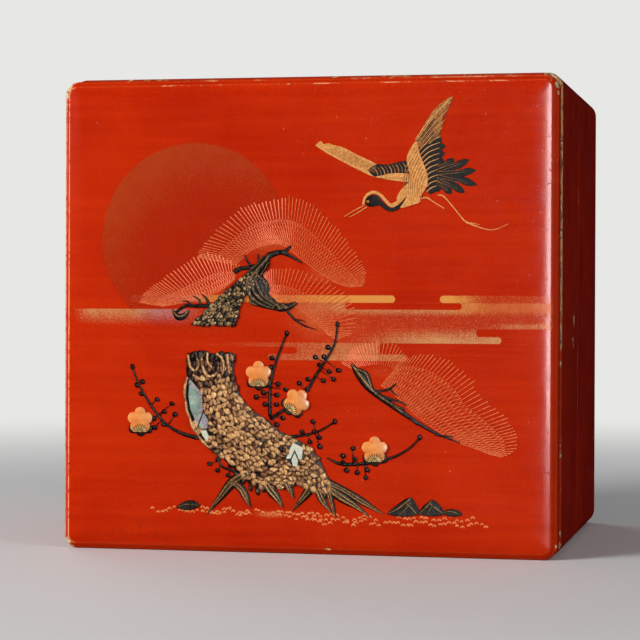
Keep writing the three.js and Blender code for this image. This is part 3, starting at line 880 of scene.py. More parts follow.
TRUNK_SIDES = (
    [(-29.7, 40.6), (-29.8, 36), (-29.8, 30.5), (-28.9, 25.2), (-27.4, 20.8), (-24.6, 17.3), (-20.6, 14.6),
     (-16.8, 11.2), (-12.6, 7.6), (-8, 7), (-3, 8), (1, 7.4), (4.4, 5.6)],
    [(-17.8, 40.4), (-18.4, 37), (-17.8, 33.2), (-16.3, 29.6), (-13.6, 26.4), (-10, 24.2), (-7, 21.6),
     (-3.2, 19.5), (1, 17.6), (3, 15.2), (4.6, 12.4), (6, 9.8), (7.8, 7)])

ROOTS = [
    [[-13.6, 11, 1.5], [-18, 8.4, 1.7], [-21.2, 4.6, 1.1], [-24.8, 0.2, 0.12]],
    [[-18.6, 8.6, 1.1], [-16.2, 7, 1.3], [-14.8, 4.8, 1.2], [-13.5, 2, 0.12]],
    [[-9.8, 8.6, 1.6], [-8.2, 6.4, 1.7], [-6.6, 4.4, 1.2], [-5.1, 2.1, 0.12]],
    [[-4.3, 8.6, 1], [-3.2, 6.4, 0.9], [-2.4, 4.5, 0.12]],
    [[-1.4, 9.4, 0.9], [0.2, 8.2, 0.7], [1, 7, 0.12]],
    [[2.8, 8.4, 1.6], [0.8, 5.8, 1.4], [-1, 3.6, 0.8], [-2.8, 1.5, 0.12]],
    [[3.6, 7.2, 1.2], [4.6, 4.8, 1.3], [5.8, 2.9, 0.7], [7.3, 1, 0.12]],
    [[6.2, 7.4, 1.1], [6.9, 4.8, 0.9], [7.6, 2.2, 0.6], [8.3, -0.1, 0.1]],
    [[6.4, 7.4, 1.6], [10, 5, 1.7], [13.6, 2.8, 0.9], [16.9, 0.3, 0.12]],
    [[5.8, 9, 1.2], [10.2, 7, 1], [14.6, 4.4, 1.2], [17.6, 2.7, 0.7], [20.4, 1.2, 0.12]]]
ROOT_KNOTS = [(4.4, 7.4, 1.3), (6.6, 8.2, 1.1), (5.6, 5.6, 1), (8.2, 6.4, 1), (-13.6, 7, 1.1), (-11.8, 6.2, 1.2),
              (-10.2, 6.8, 1.1), (-17.2, 10.4, 1), (-15.4, 8.8, 1.1), (-6, 7.4, 1), (-7.6, 6.6, 0.9), (1.8, 7.2, 1)]
TRUNK_CURLS = [
    [[-29.6, 40.2, 0.4], [-29.2, 37.4, 0.5], [-27.8, 36.2, 0.5], [-26.8, 38, 0.4], [-27.6, 39.4, 0.3]],
    [[-26, 40.6, 0.4], [-26, 37.4, 0.5], [-24.6, 35, 0.6], [-22.6, 35.2, 0.5], [-21.8, 37.4, 0.35]],
    [[-24.6, 40.8, 0.4], [-24.6, 38.6, 0.45], [-23.4, 36.8, 0.4]],
    [[-22.4, 40.6, 0.5], [-20.8, 39.2, 0.55], [-20.4, 36.8, 0.45], [-21, 34.8, 0.3]],
    [[-19.6, 40.4, 0.5], [-19.2, 38.2, 0.5], [-18.9, 35.4, 0.3]],
    [[-28.4, 35.2, 0.4], [-26.8, 34.2, 0.45], [-25, 33.6, 0.3]],
    [[-29.8, 34.6, 0.4], [-30.5, 31.6, 0.55], [-30.4, 29, 0.35]],
    [[-30.3, 29.2, 0.35], [-30, 26.4, 0.5], [-29.2, 24.2, 0.3]],
    [[-29.2, 24.4, 0.35], [-28.4, 22, 0.5], [-26.8, 19.8, 0.3]],
    [[-27.2, 20.2, 0.3], [-25.6, 18.2, 0.5], [-23.8, 16.6, 0.3]]]
BOUGH_SIDES = (
    [(-28.8, 47.8), (-26.6, 49.7), (-24.2, 52), (-21.8, 54.3), (-19.4, 56.6), (-17, 58.5), (-14.8, 60.2),
     (-13.4, 61.3)],
    [(-17.7, 47.8), (-17, 50), (-16.8, 52), (-16.2, 53.6), (-15.2, 55), (-14, 56.4), (-12.8, 57.8),
     (-11.6, 59.4)])
KNEE_SIDES = (
    [(-14.6, 60.4), (-14.9, 57.6), (-14.2, 55.4), (-13.4, 53.4), (-11.6, 52.4), (-8.8, 51.8), (-5.8, 51.2),
     (-3.4, 51.8)],
    [(-11.6, 60.6), (-9.6, 58.8), (-8.8, 57), (-9, 55.4), (-7.6, 54), (-6.4, 53.2), (-5, 53), (-2.6, 53.4)])
BOUGH_NECK = [
    [[-14.6, 58, 1.2], [-12.8, 60.4, 1.15], [-11, 62.6, 0.95], [-9.6, 64.2, 0.85], [-8.9, 65.4, 0.7]],
    [[-15.4, 59.8, 0.3], [-13.4, 61.6, 0.4], [-11.6, 63.2, 0.35], [-10.2, 65, 0.3]],
    [[-12.2, 58.6, 0.3], [-10.4, 61, 0.4], [-9, 63.4, 0.3]]]
KNEE = [
    [[-14.2, 60, 0.5], [-14.3, 57.2, 0.6], [-13.2, 54.6, 0.6], [-10.8, 53, 0.55], [-8.4, 52, 0.3]],
    [[-13.2, 60.2, 0.4], [-13.2, 57.6, 0.55], [-12, 55.2, 0.55], [-9.6, 53.4, 0.5], [-7.4, 52.4, 0.3]],
    [[-12.6, 60, 0.4], [-11.8, 57.8, 0.5], [-10.8, 55.6, 0.5], [-9, 54, 0.45], [-7, 52.8, 0.3]],
    [[-12, 60.4, 0.5], [-10.2, 58.8, 0.6], [-9.4, 57.2, 0.55], [-9.8, 55.6, 0.45], [-8.2, 53.9, 0.4],
     [-6.2, 52.8, 0.3]],
    [[-13.6, 54.2, 0.4], [-13.2, 53.2, 0.55], [-11.8, 52.8, 0.3]],
    [[-8, 51.9, 0.5], [-6.8, 52.9, 0.5], [-5.8, 51.8, 0.55], [-4.8, 52.6, 0.5], [-3.6, 52.2, 0.5], [-2, 53.4, 0.35]],
    [[-6.6, 51.6, 0.4], [-5.2, 52.9, 0.45], [-4.2, 51.9, 0.45], [-3.2, 52.8, 0.4]]]
BOUGH_TWIGS = [
    [[-9, 64.4, 0.8], [-12.6, 62.4, 0.55], [-16.4, 61.8, 0.6], [-17.9, 60.9, 0.7]],
    [[-12.8, 62.4, 0.4], [-14.2, 63.2, 0.3], [-15.3, 65.2, 0.15]],
    [[-11.3, 62.8, 0.35], [-11.8, 64.2, 0.25], [-11.7, 65.6, 0.12]],
    [[-9.2, 65, 0.9], [-6.4, 65.9, 0.7], [-4, 65.2, 0.5], [-0.6, 63.3, 0.25]],
    [[-6.2, 65.8, 0.6], [-4.6, 66.4, 0.45], [-3.4, 67.5, 0.3]],
    [[-23.2, 52.6, 0.6], [-27.6, 52.4, 0.5], [-30.4, 52.5, 0.45], [-33, 50.8, 0.35]],
    [[-26.6, 52.4, 0.35], [-27, 54, 0.25], [-28.6, 55, 0.12]],
    [[-24.4, 52.8, 0.4], [-25.2, 54.4, 0.3], [-26.4, 55.4, 0.12]],
    [[-29, 52.6, 0.3], [-30, 53.6, 0.2], [-31.4, 53.6, 0.12]],
    [[-4.6, 51.6, 0.35], [-2.4, 49.2, 0.3], [0.2, 47.6, 0.25], [3.2, 46.7, 0.12]],
    [[-2.2, 49.1, 0.2], [-0.6, 49, 0.12], [0.4, 48.5, 0.08]]]
BOUGH_BUD = [[-33.9, 51.6, 0.15], [-32.6, 49.7, 0.9], [-30.8, 50, 0.8], [-29.6, 51.4, 0.2]]
PINE_BRANCH = [[12, 38.4, 0.15], [13.4, 36.4, 0.9], [15.6, 33.6, 1.2], [17.5, 31.5, 0.9], [21, 29, 0.8],
               [25, 26.3, 0.7], [29, 23.7, 0.5], [33, 21.5, 0.4], [36, 20.3, 0.3], [39.4, 19, 0.12]]
PINE_TWIGS = [
    [[13.2, 37, 0.5], [15.6, 35.9, 0.7], [16.6, 34, 0.5], [17.4, 31.8, 0.4]],
    [[17.6, 31.3, 0.4], [20.4, 31.8, 0.3], [22, 32.4, 0.25], [23.4, 33.6, 0.12]],
    [[21.6, 32.2, 0.25], [22.6, 31.2, 0.2], [23.6, 30.4, 0.12]],
    [[18.6, 30.8, 0.4], [22, 29.6, 0.35], [24.6, 28.9, 0.25], [26, 28, 0.12]],
    [[20.6, 29.4, 0.5], [23, 27.9, 0.5], [25.4, 27.2, 0.3]],
    [[26.6, 25.2, 0.4], [28.6, 23.6, 0.4], [28, 23.9, 0.2]],
    [[33, 21.2, 0.3], [35, 20.7, 0.35], [37.6, 20.6, 0.12]]]
ROCKS = [
    [[21.6, 1.4, 0.3], [24, 2.6, 1.2], [26.2, 4.4, 1], [27.2, 5.2, 0.2]],
    [[25.8, 4.2, 0.5], [27.4, 2.8, 1], [28.9, 1.1, 0.2]],
    [[24.4, 1.2, 0.5], [26, 2.6, 0.6], [27.2, 4.4, 0.2]],
    [[29.2, 1.5, 0.3], [30.8, 2.9, 1], [32.4, 4.7, 0.3]],
    [[31.8, 4.2, 0.5], [33.5, 2.9, 1.1], [35.4, 1.5, 0.3]],
    [[31.4, 1.4, 0.4], [32.2, 2.8, 0.5], [32.8, 4.2, 0.2]],
    [[35.2, 1.8, 0.3], [37, 2.3, 0.7], [39.3, 1.6, 0.2]],
    [[-32.4, 1.7, 0.2], [-29.8, 2.6, 0.8], [-26.9, 2.2, 0.3]]]
ROCK_BASES = [
    [(21.2, 1.3), (22.8, 2.9), (25.2, 4.3), (27.1, 5.5), (28.3, 4), (29.3, 1.5), (26.4, 0.8), (23.4, 0.7)],
    [(29.2, 1.3), (30.6, 3.5), (32.3, 5), (34, 4.1), (35.4, 1.6), (32.4, 0.9)],
    [(35, 1.5), (36.8, 2.8), (39.2, 2.4), (39.8, 1.4), (37.4, 0.9)],
    [(-32.9, 1.7), (-30.6, 3.2), (-28.2, 3.5), (-26.6, 2.3), (-28.4, 1.3), (-30.6, 1)]]

SHELL_NODES = {"shell_long": abalone, "shell_wedge": abalone, "shell_chip": white_shell,
               "shell_gate": white_shell, "shell_kite": white_shell}
# Blossoms: across, up and turn in degrees
BLOSSOM_RADIUS = 3.35
BLOSSOMS = {"blossom_left": [-42.2, 23.5, 0], "blossom_top": [-11.5, 35.4, 0],
            "blossom_right": [-1.7, 28.7, -40], "blossom_low": [18.1, 17, 0]}

PLUM_BRANCHES = [
    [[-44.4, 37, 0.2], [-43.4, 34, 0.24], [-41.3, 30.1, 0.3], [-38.4, 25.8, 0.34], [-35.5, 22.6, 0.38],
     [-31.6, 20.4, 0.5], [-27.2, 19.2, 0.6]],
    [[-4.4, 45.7, 0.2], [-6.3, 41, 0.26], [-8.1, 35.2, 0.34], [-8.7, 30.4, 0.36], [-8.6, 25, 0.5]],
    [[8.5, 48, 0.2], [7.9, 43.6, 0.26], [5.9, 39.6, 0.3], [2.9, 35.1, 0.36], [0.6, 31.4, 0.4],
     [-4.6, 27, 0.4], [-8.6, 24.3, 0.5]],
    [[7.9, 23.9, 0.2], [4.4, 21.7, 0.26], [1.1, 20.6, 0.34], [-3.7, 19.8, 0.5]],
    [[29.3, 20.3, 0.2], [27, 17.8, 0.26], [23.4, 15.6, 0.34], [18.4, 14, 0.4], [13.6, 13.4, 0.46],
     [9.4, 13.4, 0.5], [6, 14.8, 0.15]],
    [[-22.4, 15.6, 0.2], [-21.2, 12.4, 0.3], [-18.4, 11.2, 0.4], [-15.5, 9.6, 0.5]]]

# Which branch, and the places of its buds
BUDS = [
    (0, [(-43.2, 32.4), (-41.8, 33.3), (-42.1, 30.2), (-37.9, 28.8), (-36, 25.8), (-34, 27.8), (-33.2, 25.1),
         (-38.7, 24), (-36.2, 22.5), (-38.5, 21.7)]),
    (1, [(-8.2, 39.5), (-8.4, 37.3), (-6.6, 33), (-4.6, 31.7), (-10.3, 30.8), (-12.2, 29.7), (-6.9, 30.3),
         (-9.9, 27.9), (-7, 27.9), (-5.4, 24.6), (-6.9, 22.9)]),
    (2, [(6.1, 42.3), (2.9, 39.8), (5.1, 39.9), (3.9, 37.9), (8.8, 36.6), (6.4, 36.3), (4.9, 34), (7.5, 34.4),
         (1, 34.3), (-1.2, 33.3), (0.9, 31.8)]),
    (3, [(2.3, 23.8), (-0.4, 21.2), (2.6, 21.3), (1.6, 18.7), (4, 19.9), (4.1, 17.6)]),
    (4, [(12.5, 17.3), (10, 15.4), (13, 14.6), (10, 13.8), (10.9, 11.8), (13.6, 11.3), (16.2, 12), (15.8, 10.1)]),
    (5, [(-22, 13.9), (-24.2, 12.8), (-22.1, 11.2), (-18.7, 12.5), (-19.3, 10)])]

# Rows of the needles' nets, as shares of their length
NEEDLE_NET = [0.04, 0.14, 0.24, 0.34, 0.44, 0.54]
WIDE_NET = [0.03, 0.16, 0.3, 0.44, 0.57, 0.69]
SHORT_NET = [0.05, 0.18, 0.32, 0.46]

# Bands of tufts: left, right, up, how many
GROUND_BANDS = [(-39, -13, 1.0, 22), (-26, 8, 0.6, 30), (1, 47, -1.2, 40), (-6, 20, -0.3, 18), (24, 44, 0.2, 14)]

# Pine needles: base line, tip line, how many needles wide, the net's rows as shares of their length, and the
# net's line weight
PINE_FANS = [
    ([(-17.2, 62.5), (-13.5, 66), (-9, 67.4), (-5.4, 67.2), (-1.5, 64.2), (3, 61), (8.4, 57.9), (12, 57.2)],
     [(-27.6, 64.7), (-26.4, 67), (-22.1, 71.8), (-16.5, 76.9), (-10.8, 78.4), (-4.4, 79.6), (1.4, 78.4),
      (6.5, 73.6), (10.6, 69), (14.2, 63.9), (15.7, 60.4), (14.9, 57.6)], 70, NEEDLE_NET, 0.72),
    ([(-36.4, 52.2), (-33, 52.6), (-27, 53.8), (-21, 56), (-17.8, 59)],
     [(-42.4, 53.2), (-41, 55.8), (-37.2, 58.7), (-30.7, 63.2), (-23.7, 65.6), (-16.6, 62.8)], 40, SHORT_NET, 0.8),
    ([(-9, 55), (-6, 53.6), (-1, 51), (3.4, 47.6), (6, 45.4)],
     [(-10.4, 60.8), (-6.9, 61.7), (-1, 61.3), (6.6, 58.4), (12.2, 53.6), (12.6, 46.4), (8.4, 44.2)], 38,
     SHORT_NET, 0.8),
    ([(14.6, 35.8), (17, 34.4), (18.8, 34), (20.4, 34.2)],
     [(9.6, 38.4), (11.4, 41), (13.9, 42.9), (18.3, 43.8), (23.3, 42.8), (26.2, 40.2)], 26, [0.42], 0.85),
    ([(19.4, 32.8), (22, 31), (25, 28.2), (28, 25.4), (32, 22.6), (37, 19.6), (43, 17.6), (47.4, 16.2)],
     [(24.6, 38.8), (26.9, 40), (30.6, 40.6), (34.8, 39.8), (38.6, 37.8), (42.2, 34.6), (44.4, 30.4),
      (48.6, 27), (51.8, 23.8), (53.3, 20.8), (52.7, 17.2), (49.4, 15.7)], 46, WIDE_NET, 0.98)]
NEEDLE_HALF = 0.23 * MM
FREE_NEEDLE = 1.25

# Bark: pitch and stretch of its flakes, spacing and sideways shift of their rows, how far a flake strays along its
# row, across, up and in its angle, and the share of flakes left out
TRUNK_BARK = (1.12, 1.7)
BOUGH_BARK = (0.82, 1.35)
ROW_PITCH = 0.87
ROW_SHIFT = 0.22
STRAY_ALONG, STRAY_ACROSS, STRAY_UP, STRAY_ANGLE = 0.25, 0.2, 0.35, 0.7
ROW_END = 0.4
BARK_SKIPPED = 0.05
NEIGHBOURS = 2.4
CROWN_SHARE = 0.2
CROWN_DARK = 1.1
CURL_TONE = 0.42

# Where the trunk's shell inlays lie, clear of flakes: across, up, radius
SHELL_PLACES = [(-28.2, 31, 1.9), (-29, 29, 1.9), (-27.6, 27, 2.1), (-28, 24.4, 1.5), (-25.6, 23.6, 1.4),
                (-25.3, 20, 1.1), (-1.9, 16.6, 1.7), (-3.5, 14.9, 1.1), (-0.5, 14.9, 1.1), (-2, 13.2, 1.1),
                (-2, 15, 1.2)]

# How far the parts of the picture stand off the face
BOUGH_RISE = 1.7 * MM
KNEE_RISE = 1.6 * MM
TRUNK_BASE_RISE = 0.7 * MM
BOUGH_BASE_RISE = 0.6 * MM
CURL_RISE = 1.72 * MM
ROOT_RISE = 1.35 * MM
KNOT_RISE = 1.3 * MM
TWIG_RISE = 0.9 * MM
PINE_RISE = 1.1 * MM
ROCK_RISE = 1.2 * MM
ROCK_BASE_RISE = 0.7 * MM
TUFT_RISE = 0.16 * MM
PLUM_RISE = 0.85 * MM
STALK_RISE = 0.5 * MM
BUD_RISE = 1.3 * MM
PETAL_RISE = 1.15 * MM
CALYX_RISE = 1.05 * MM
HEART_RISE = 1.22 * MM
STAMEN_RISE = 1.3 * MM
STREAK_LIFT = 0.1 * MM
BUD_SINK = 0.1 * MM


def edges_of(sides, margin=0.0):
    """The two smooth edges of a limb, drawn apart by a margin."""
    left, right = (curve([list(point) for point in side], 6) for side in sides)
    for a, b in zip(left, right):
        out = Vector((b[0] - a[0], b[1] - a[1])).normalized() * margin
        a[0], a[1], b[0], b[1] = a[0] - out.x, a[1] - out.y, b[0] + out.x, b[1] + out.y
    return left, right


def bark(bm, layer, sides, pitch, stretch, tallest, clear=(), crown=0.0):
    """Flakes packed in staggered rows between a limb's edges, each with its own tone, darker towards the crown."""
    left, right = edges_of(sides)
    middles = [Vector(between(a, b, 0.5)) for a, b in zip(left, right)]
    reach = [0.0]
    for here, there in zip(middles, middles[1:]):
        reach.append(reach[-1] + (there - here).length)
    rows = round(reach[-1] / (ROW_PITCH * pitch * stretch))
    seeds = []
    for row in range(rows):
        wanted = (row + 0.5) / rows * reach[-1]
        index = next(i for i in range(len(middles) - 1) if reach[i + 1] >= wanted)
        share = (index + (wanted - reach[index]) / (reach[index + 1] - reach[index])) / (len(middles) - 1)
        run = middles[index + 1] - middles[index]
        start, end = along(left, share), along(right, share)
        count = max(1, round(math.dist(start, end) / pitch))
        for place in range(count):
            side = (place + 0.5 + ROW_SHIFT * (-1) ** row + random.uniform(-STRAY_ALONG, STRAY_ALONG)) / count
            x, up = between(start, end, min(max(side, ROW_END / count), 1 - ROW_END / count))
            x += pitch * random.uniform(-STRAY_ACROSS, STRAY_ACROSS)
            up += pitch * random.uniform(-STRAY_UP, STRAY_UP)
            if 1 < place < count - 2 and random.random() < BARK_SKIPPED:
                continue
            angle = math.atan2(run.y, run.x) + random.uniform(-STRAY_ANGLE, STRAY_ANGLE)
            seeds.append((x, up, angle, wanted / reach[-1]))
    places = [spot(x, up, FLAKE_FOOT) for x, up, _, _ in seeds]
    for (x, up, angle, share), place in zip(seeds, places):
        rise = random.uniform(0.55, 0.96) * (tallest - FLAKE_FOOT)
        tone = random.random() - (CROWN_DARK * (1 - share / crown) if share < crown else 0)
        if any(math.dist((x, up), middle) < radius for *middle, radius in clear):
            continue
        near = [other for other in places if 0 < (other - place).length < NEIGHBOURS * pitch * stretch * UNIT]
        flake(bm, layer, place, near, angle, pitch * UNIT, stretch, rise, tone)


def limb_base(bm, layer, sides, margin, rise):
    """The dark ground that shows between a limb's flakes and round its ragged edge."""
    left, right = edges_of(sides, margin)
    outline = [[x + random.uniform(-0.12, 0.12), up + random.uniform(-0.12, 0.12)] for x, up in left + right[::-1]]
    plate(bm, outline, rise, 0.1 * MM, 1, layer, 0.2)


def make_trunk():
    bm = bmesh.new()
    layer = bm.verts.layers.float.new("tone")
    limb_base(bm, layer, TRUNK_SIDES, 0.35, TRUNK_BASE_RISE)
    bark(bm, layer, TRUNK_SIDES, *TRUNK_BARK, BARK_RISE, SHELL_PLACES, CROWN_SHARE)
    bm.verts.ensure_lookup_table()
    flakes = len(bm.verts)
    for curl in TRUNK_CURLS:
        stroke(bm, curl, CURL_RISE, ROUND)
    bm.verts.ensure_lookup_table()
    for vert in bm.verts[flakes:]:
        vert[layer] = CURL_TONE
    finish_piece("trunk", bm, [bark_gold, dark_wood])


def make_roots():
    """Dark blades, each with gold streaks along its crest, and the knots that they grow from."""
    bm = bmesh.new()
    for root in ROOTS:
        stroke(bm, root, ROOT_RISE, BLADE, 5)
        start, end = root[0], root[-1]
        lean = Vector((start[1] - end[1], end[0] - start[0])).normalized()
        for shift, width in ((-0.3, 0.2), (0.26, 0.13)):
            streak = [[x + lean.x * shift * half, up + lean.y * shift * half, width * half] for x, up, half in root]
            stroke(bm, streak, ROOT_RISE + STREAK_LIFT, FLAT, 4, 1)
    for x, up, size in ROOT_KNOTS:
        dome(bm, spot(x, up), 0.95 * size * UNIT, 0.5 * size * UNIT, random.uniform(-2, -1.1), KNOT_RISE, 0.06,
             material=2)
    finish_piece("roots", bm, [dark_wood, streak_gold, knot_gold])


def make_bough():
    bm = bmesh.new()
    layer = bm.verts.layers.float.new("tone")
    limb_base(bm, layer, BOUGH_SIDES, 0.2, BOUGH_BASE_RISE)
    limb_base(bm, layer, KNEE_SIDES, 0.1, BOUGH_BASE_RISE)
    bark(bm, layer, BOUGH_SIDES, *BOUGH_BARK, BOUGH_RISE)
    for line in KNEE + BOUGH_NECK:
        stroke(bm, line, KNEE_RISE, ROUND, 5, 1)
        streak = [[x - 0.2 * half, up - 0.25 * half, 0.12 * half] for x, up, half in line]
        stroke(bm, streak, KNEE_RISE + STREAK_LIFT, FLAT, 5, 2)
    finish_piece("bough", bm, [bough_gold, dark_wood, streak_gold])


def make_twigs():
    bm = bmesh.new()
    for line in BOUGH_TWIGS + [BOUGH_BUD]:
        stroke(bm, line, TWIG_RISE, ROUND)
    for line in [PINE_BRANCH] + PINE_TWIGS:
        stroke(bm, line, PINE_RISE, ROUND)
    for line in [PINE_BRANCH[:6], PINE_TWIGS[0], PINE_TWIGS[4], BOUGH_BUD]:
        streak = [[x, up + 0.2 * half, 0.22 * half] for x, up, half in line]
        stroke(bm, streak, PINE_RISE + 1.2 * STREAK_LIFT, FLAT, 4, 1)
    finish_piece("pine_branches", bm, [dark_wood, streak_gold])


def make_rocks():
    """Dark rocks, ridged and streaked with gold along their crests."""
    bm = bmesh.new()
    for outline in ROCK_BASES:
        plate(bm, ring_of(outline, 3), ROCK_BASE_RISE, 0.3 * MM)
    for line in ROCKS:
        stroke(bm, line, ROCK_RISE, BLADE, 2)
        stroke(bm, [[x, up, 0.16 * half] for x, up, half in line], ROCK_RISE + STREAK_LIFT, FLAT, 2, 1)
    finish_piece("rocks", bm, [dark_wood, streak_gold], smooth=False)


def make_ground():
    """Tufts along the ground: small arches in uneven rows."""
    bm = bmesh.new()
    for left, right, up, count in GROUND_BANDS:
        for i in range(count):
            x = left + (right - left) * (i + random.uniform(-0.3, 0.3)) / count
            z = up + 0.8 * math.sin(x * 0.9) * 0.6 + random.uniform(-0.35, 0.35)
            size = random.uniform(0.35, 0.6)
            arch = [[x - size, z - 0.25 * size, 0.12], [x - 0.55 * size, z + 0.5 * size, 0.2],
                    [x + 0.3 * size, z + 0.6 * size, 0.24], [x + size, z - 0.2 * size, 0.12]]
            stroke(bm, arch, TUFT_RISE, FLAT, 2)
    finish_piece("ground_tufts", bm, [ground_gold], smooth=False)


def make_needles():
    """Fans of fine needles: a net of crossing strokes from the branch outwards, and a free row round its rim."""
    bm = bmesh.new()
    for base, tips, count, net, weight in PINE_FANS:
        base_line, tip_line = curve([list(p) for p in base], 6), curve([list(p) for p in tips], 6)

        def node(number, share):
            part = number / (count - 1)
            return between(along(base_line, part), along(tip_line, part), share)

        for row, (start, end) in enumerate(zip(net, net[1:])):
            shift = 0.5 * (row % 2)
            for i in range(count):
                for step in (-0.5, 0.5):
                    if 0 <= i + shift <= count - 1 and 0 <= i + shift + step <= count - 1:
                        sway = random.uniform(-0.08, 0.08)
                        needle(bm, spot(*node(i + shift, start)), spot(*node(i + shift + step + sway, end + 0.02)),
                               weight * NEEDLE_HALF)
        for i in range(count):
            needle(bm, spot(*node(i, net[-1])), spot(*node(i, 1 + random.uniform(-0.03, 0.03))),
                   FREE_NEEDLE * NEEDLE_HALF)
        if len(net) > 1:
            stroke(bm, [[*node(part * (count - 1) / 12, net[0]), 0.09] for part in range(13)], 0.12 * MM, FLAT, 2)
    finish_piece("pine_needles", bm, [needle_gold], smooth=False)


def needle(bm, root, tip, half):
    """A three-sided sliver between two points of the face."""
    run = tip - root
    turn = run.to_track_quat("Z", "Y").to_matrix().to_4x4()
    matrix = Matrix.Translation((root + tip) / 2) @ turn
    bmesh.ops.create_cone(bm, cap_ends=True, segments=3, radius1=0.6 * half, radius2=1.15 * half,
                          depth=run.length, matrix=matrix)


def make_plum():
    """Dark branches, and round buds on short stalks to either side of them."""
    bm = bmesh.new()
    for line in PLUM_BRANCHES:
        stroke(bm, line, PLUM_RISE, ROUND, 5, taper=False)
    for line in PLUM_BRANCHES[:5]:
        dome(bm, spot(*line[0][:2], BUD_SINK), 1.6 * MM, 1.1 * MM, math.pi / 2, 1.1 * MM)
    for branch, buds in BUDS:
        points = curve(PLUM_BRANCHES[branch], 8)
        for x, up in buds:
            foot = min(points, key=lambda point: math.dist(point[:2], (x, up)))
            stroke(bm, [[*foot[:2], 0.14], [x, up, 0.1]], STALK_RISE, ROUND, 2)
            size = random.uniform(1.25, 1.5) * MM
            dome(bm, spot(x, up, BUD_SINK), size, size * 0.92, random.uniform(0, 3), BUD_RISE, 0.04)
    finish_piece("plum_branches", bm, [twig_dark])


def make_blossom(name, across, up, degrees):
    """One flat inlay with five lobes, a dark calyx below, and black stamens over a pale gold heart."""
    bm = bmesh.new()
    layer = bm.verts.layers.float.new("tone")
    radius = BLOSSOM_RADIUS
    turn = math.radians(degrees)

    def around(angle, out, low=0.0):
        x, z = -math.sin(angle) * out, math.cos(angle) * out - low
        return [across + x * math.cos(turn) - z * math.sin(turn), up + x * math.sin(turn) + z * math.cos(turn)]

    lobe, offset = 0.43 * radius, 0.57 * radius
    outline = []
    for step in range(60):
        angle = step / 60 * 2 * math.pi
        off = (angle + math.pi / 5) % (2 * math.pi / 5) - math.pi / 5
        outline.append(around(angle, offset * math.cos(off) + math.sqrt(lobe ** 2 - (offset * math.sin(off)) ** 2)))
    plate(bm, outline, PETAL_RISE, 0.22 * MM)
    for angle in (math.pi - 0.72, math.pi, math.pi + 0.72):
        cup = [[*around(angle - 0.42, 0.94 * radius), 0.22], [*around(angle, 1.1 * radius), 0.5],
               [*around(angle + 0.42, 0.94 * radius), 0.22]]
        stroke(bm, cup, CALYX_RISE, ROUND, 4, 1)
    heart = [around(math.radians(lean), 0.5 * radius, 0.92 * radius) for lean in range(-84, 85, 12)]
    plate(bm, heart, HEART_RISE, 0.05 * MM, 2)
    for ray in range(9):
        lean = (ray - 4) * 0.3
        start, end = around(lean, 0.16 * radius, 0.92 * radius), around(lean, 0.56 * radius, 0.92 * radius)
        stroke(bm, [[*start, 0.06], [*end, 0.14]], STAMEN_RISE, FLAT, 1, 1, taper=False)
        tip = around(lean, 0.62 * radius, 0.92 * radius)
        dome(bm, spot(*tip, PETAL_RISE), 0.3 * MM, 0.3 * MM, 0, 0.14 * MM, subdivisions=1, material=1)
    for vert in bm.verts:
        off = math.hypot(vert.co.x / UNIT - across, (vert.co.z - GROUND_HEIGHT) / UNIT - up) / radius
        vert[layer] = off ** 3
    finish_piece(name + "_petals", bm, [petal_coral, feather_black, heart_gold],
                 replaced=[name])


def quill(bm, root, tip, half, rise, material, bend=0.0):
    """A fine raised line between two points, bowed to one side."""
    side = Vector((root[1] - tip[1], tip[0] - root[0])) * bend
    middle = [(root[0] + tip[0]) / 2 + side.x, (root[1] + tip[1]) / 2 + side.y]
    stroke(bm, [[*root, half], [*middle, half], [*tip, 0.4 * half]], rise, FLAT, 3, material, taper=False)


def painted(bm, outline, rise, material, steps=3):
    """A flat painted shape with a smooth outline."""
    plate(bm, ring_of(outline, steps), rise, 0.04 * MM, material)


def quills(bm, count, roots, tips, half, rise, materials, bend):
    """Quills side by side from a line of roots to a line of tips, in the materials by turns."""
    for i in range(count):
        share = i / (count - 1)
        quill(bm, between(*roots, share), between(*tips, share), half, rise, materials[i % len(materials)], bend)


def feather(bm, root, tip, half, rise, material, bend=0.0):
    """A broad leaf shape between two points, fullest near its tip and bowed to one side."""
    side = Vector((root[1] - tip[1], tip[0] - root[0])) * bend
    middle = [(root[0] + tip[0]) / 2 + side.x, (root[1] + tip[1]) / 2 + side.y]
    late = between(middle, tip, 0.6)
    stroke(bm, [[*root, half * 0.6], [*middle, half * 0.95], [*late, half], [*tip, half * 0.2]],
           rise, FLAT, 3, material, taper=False)


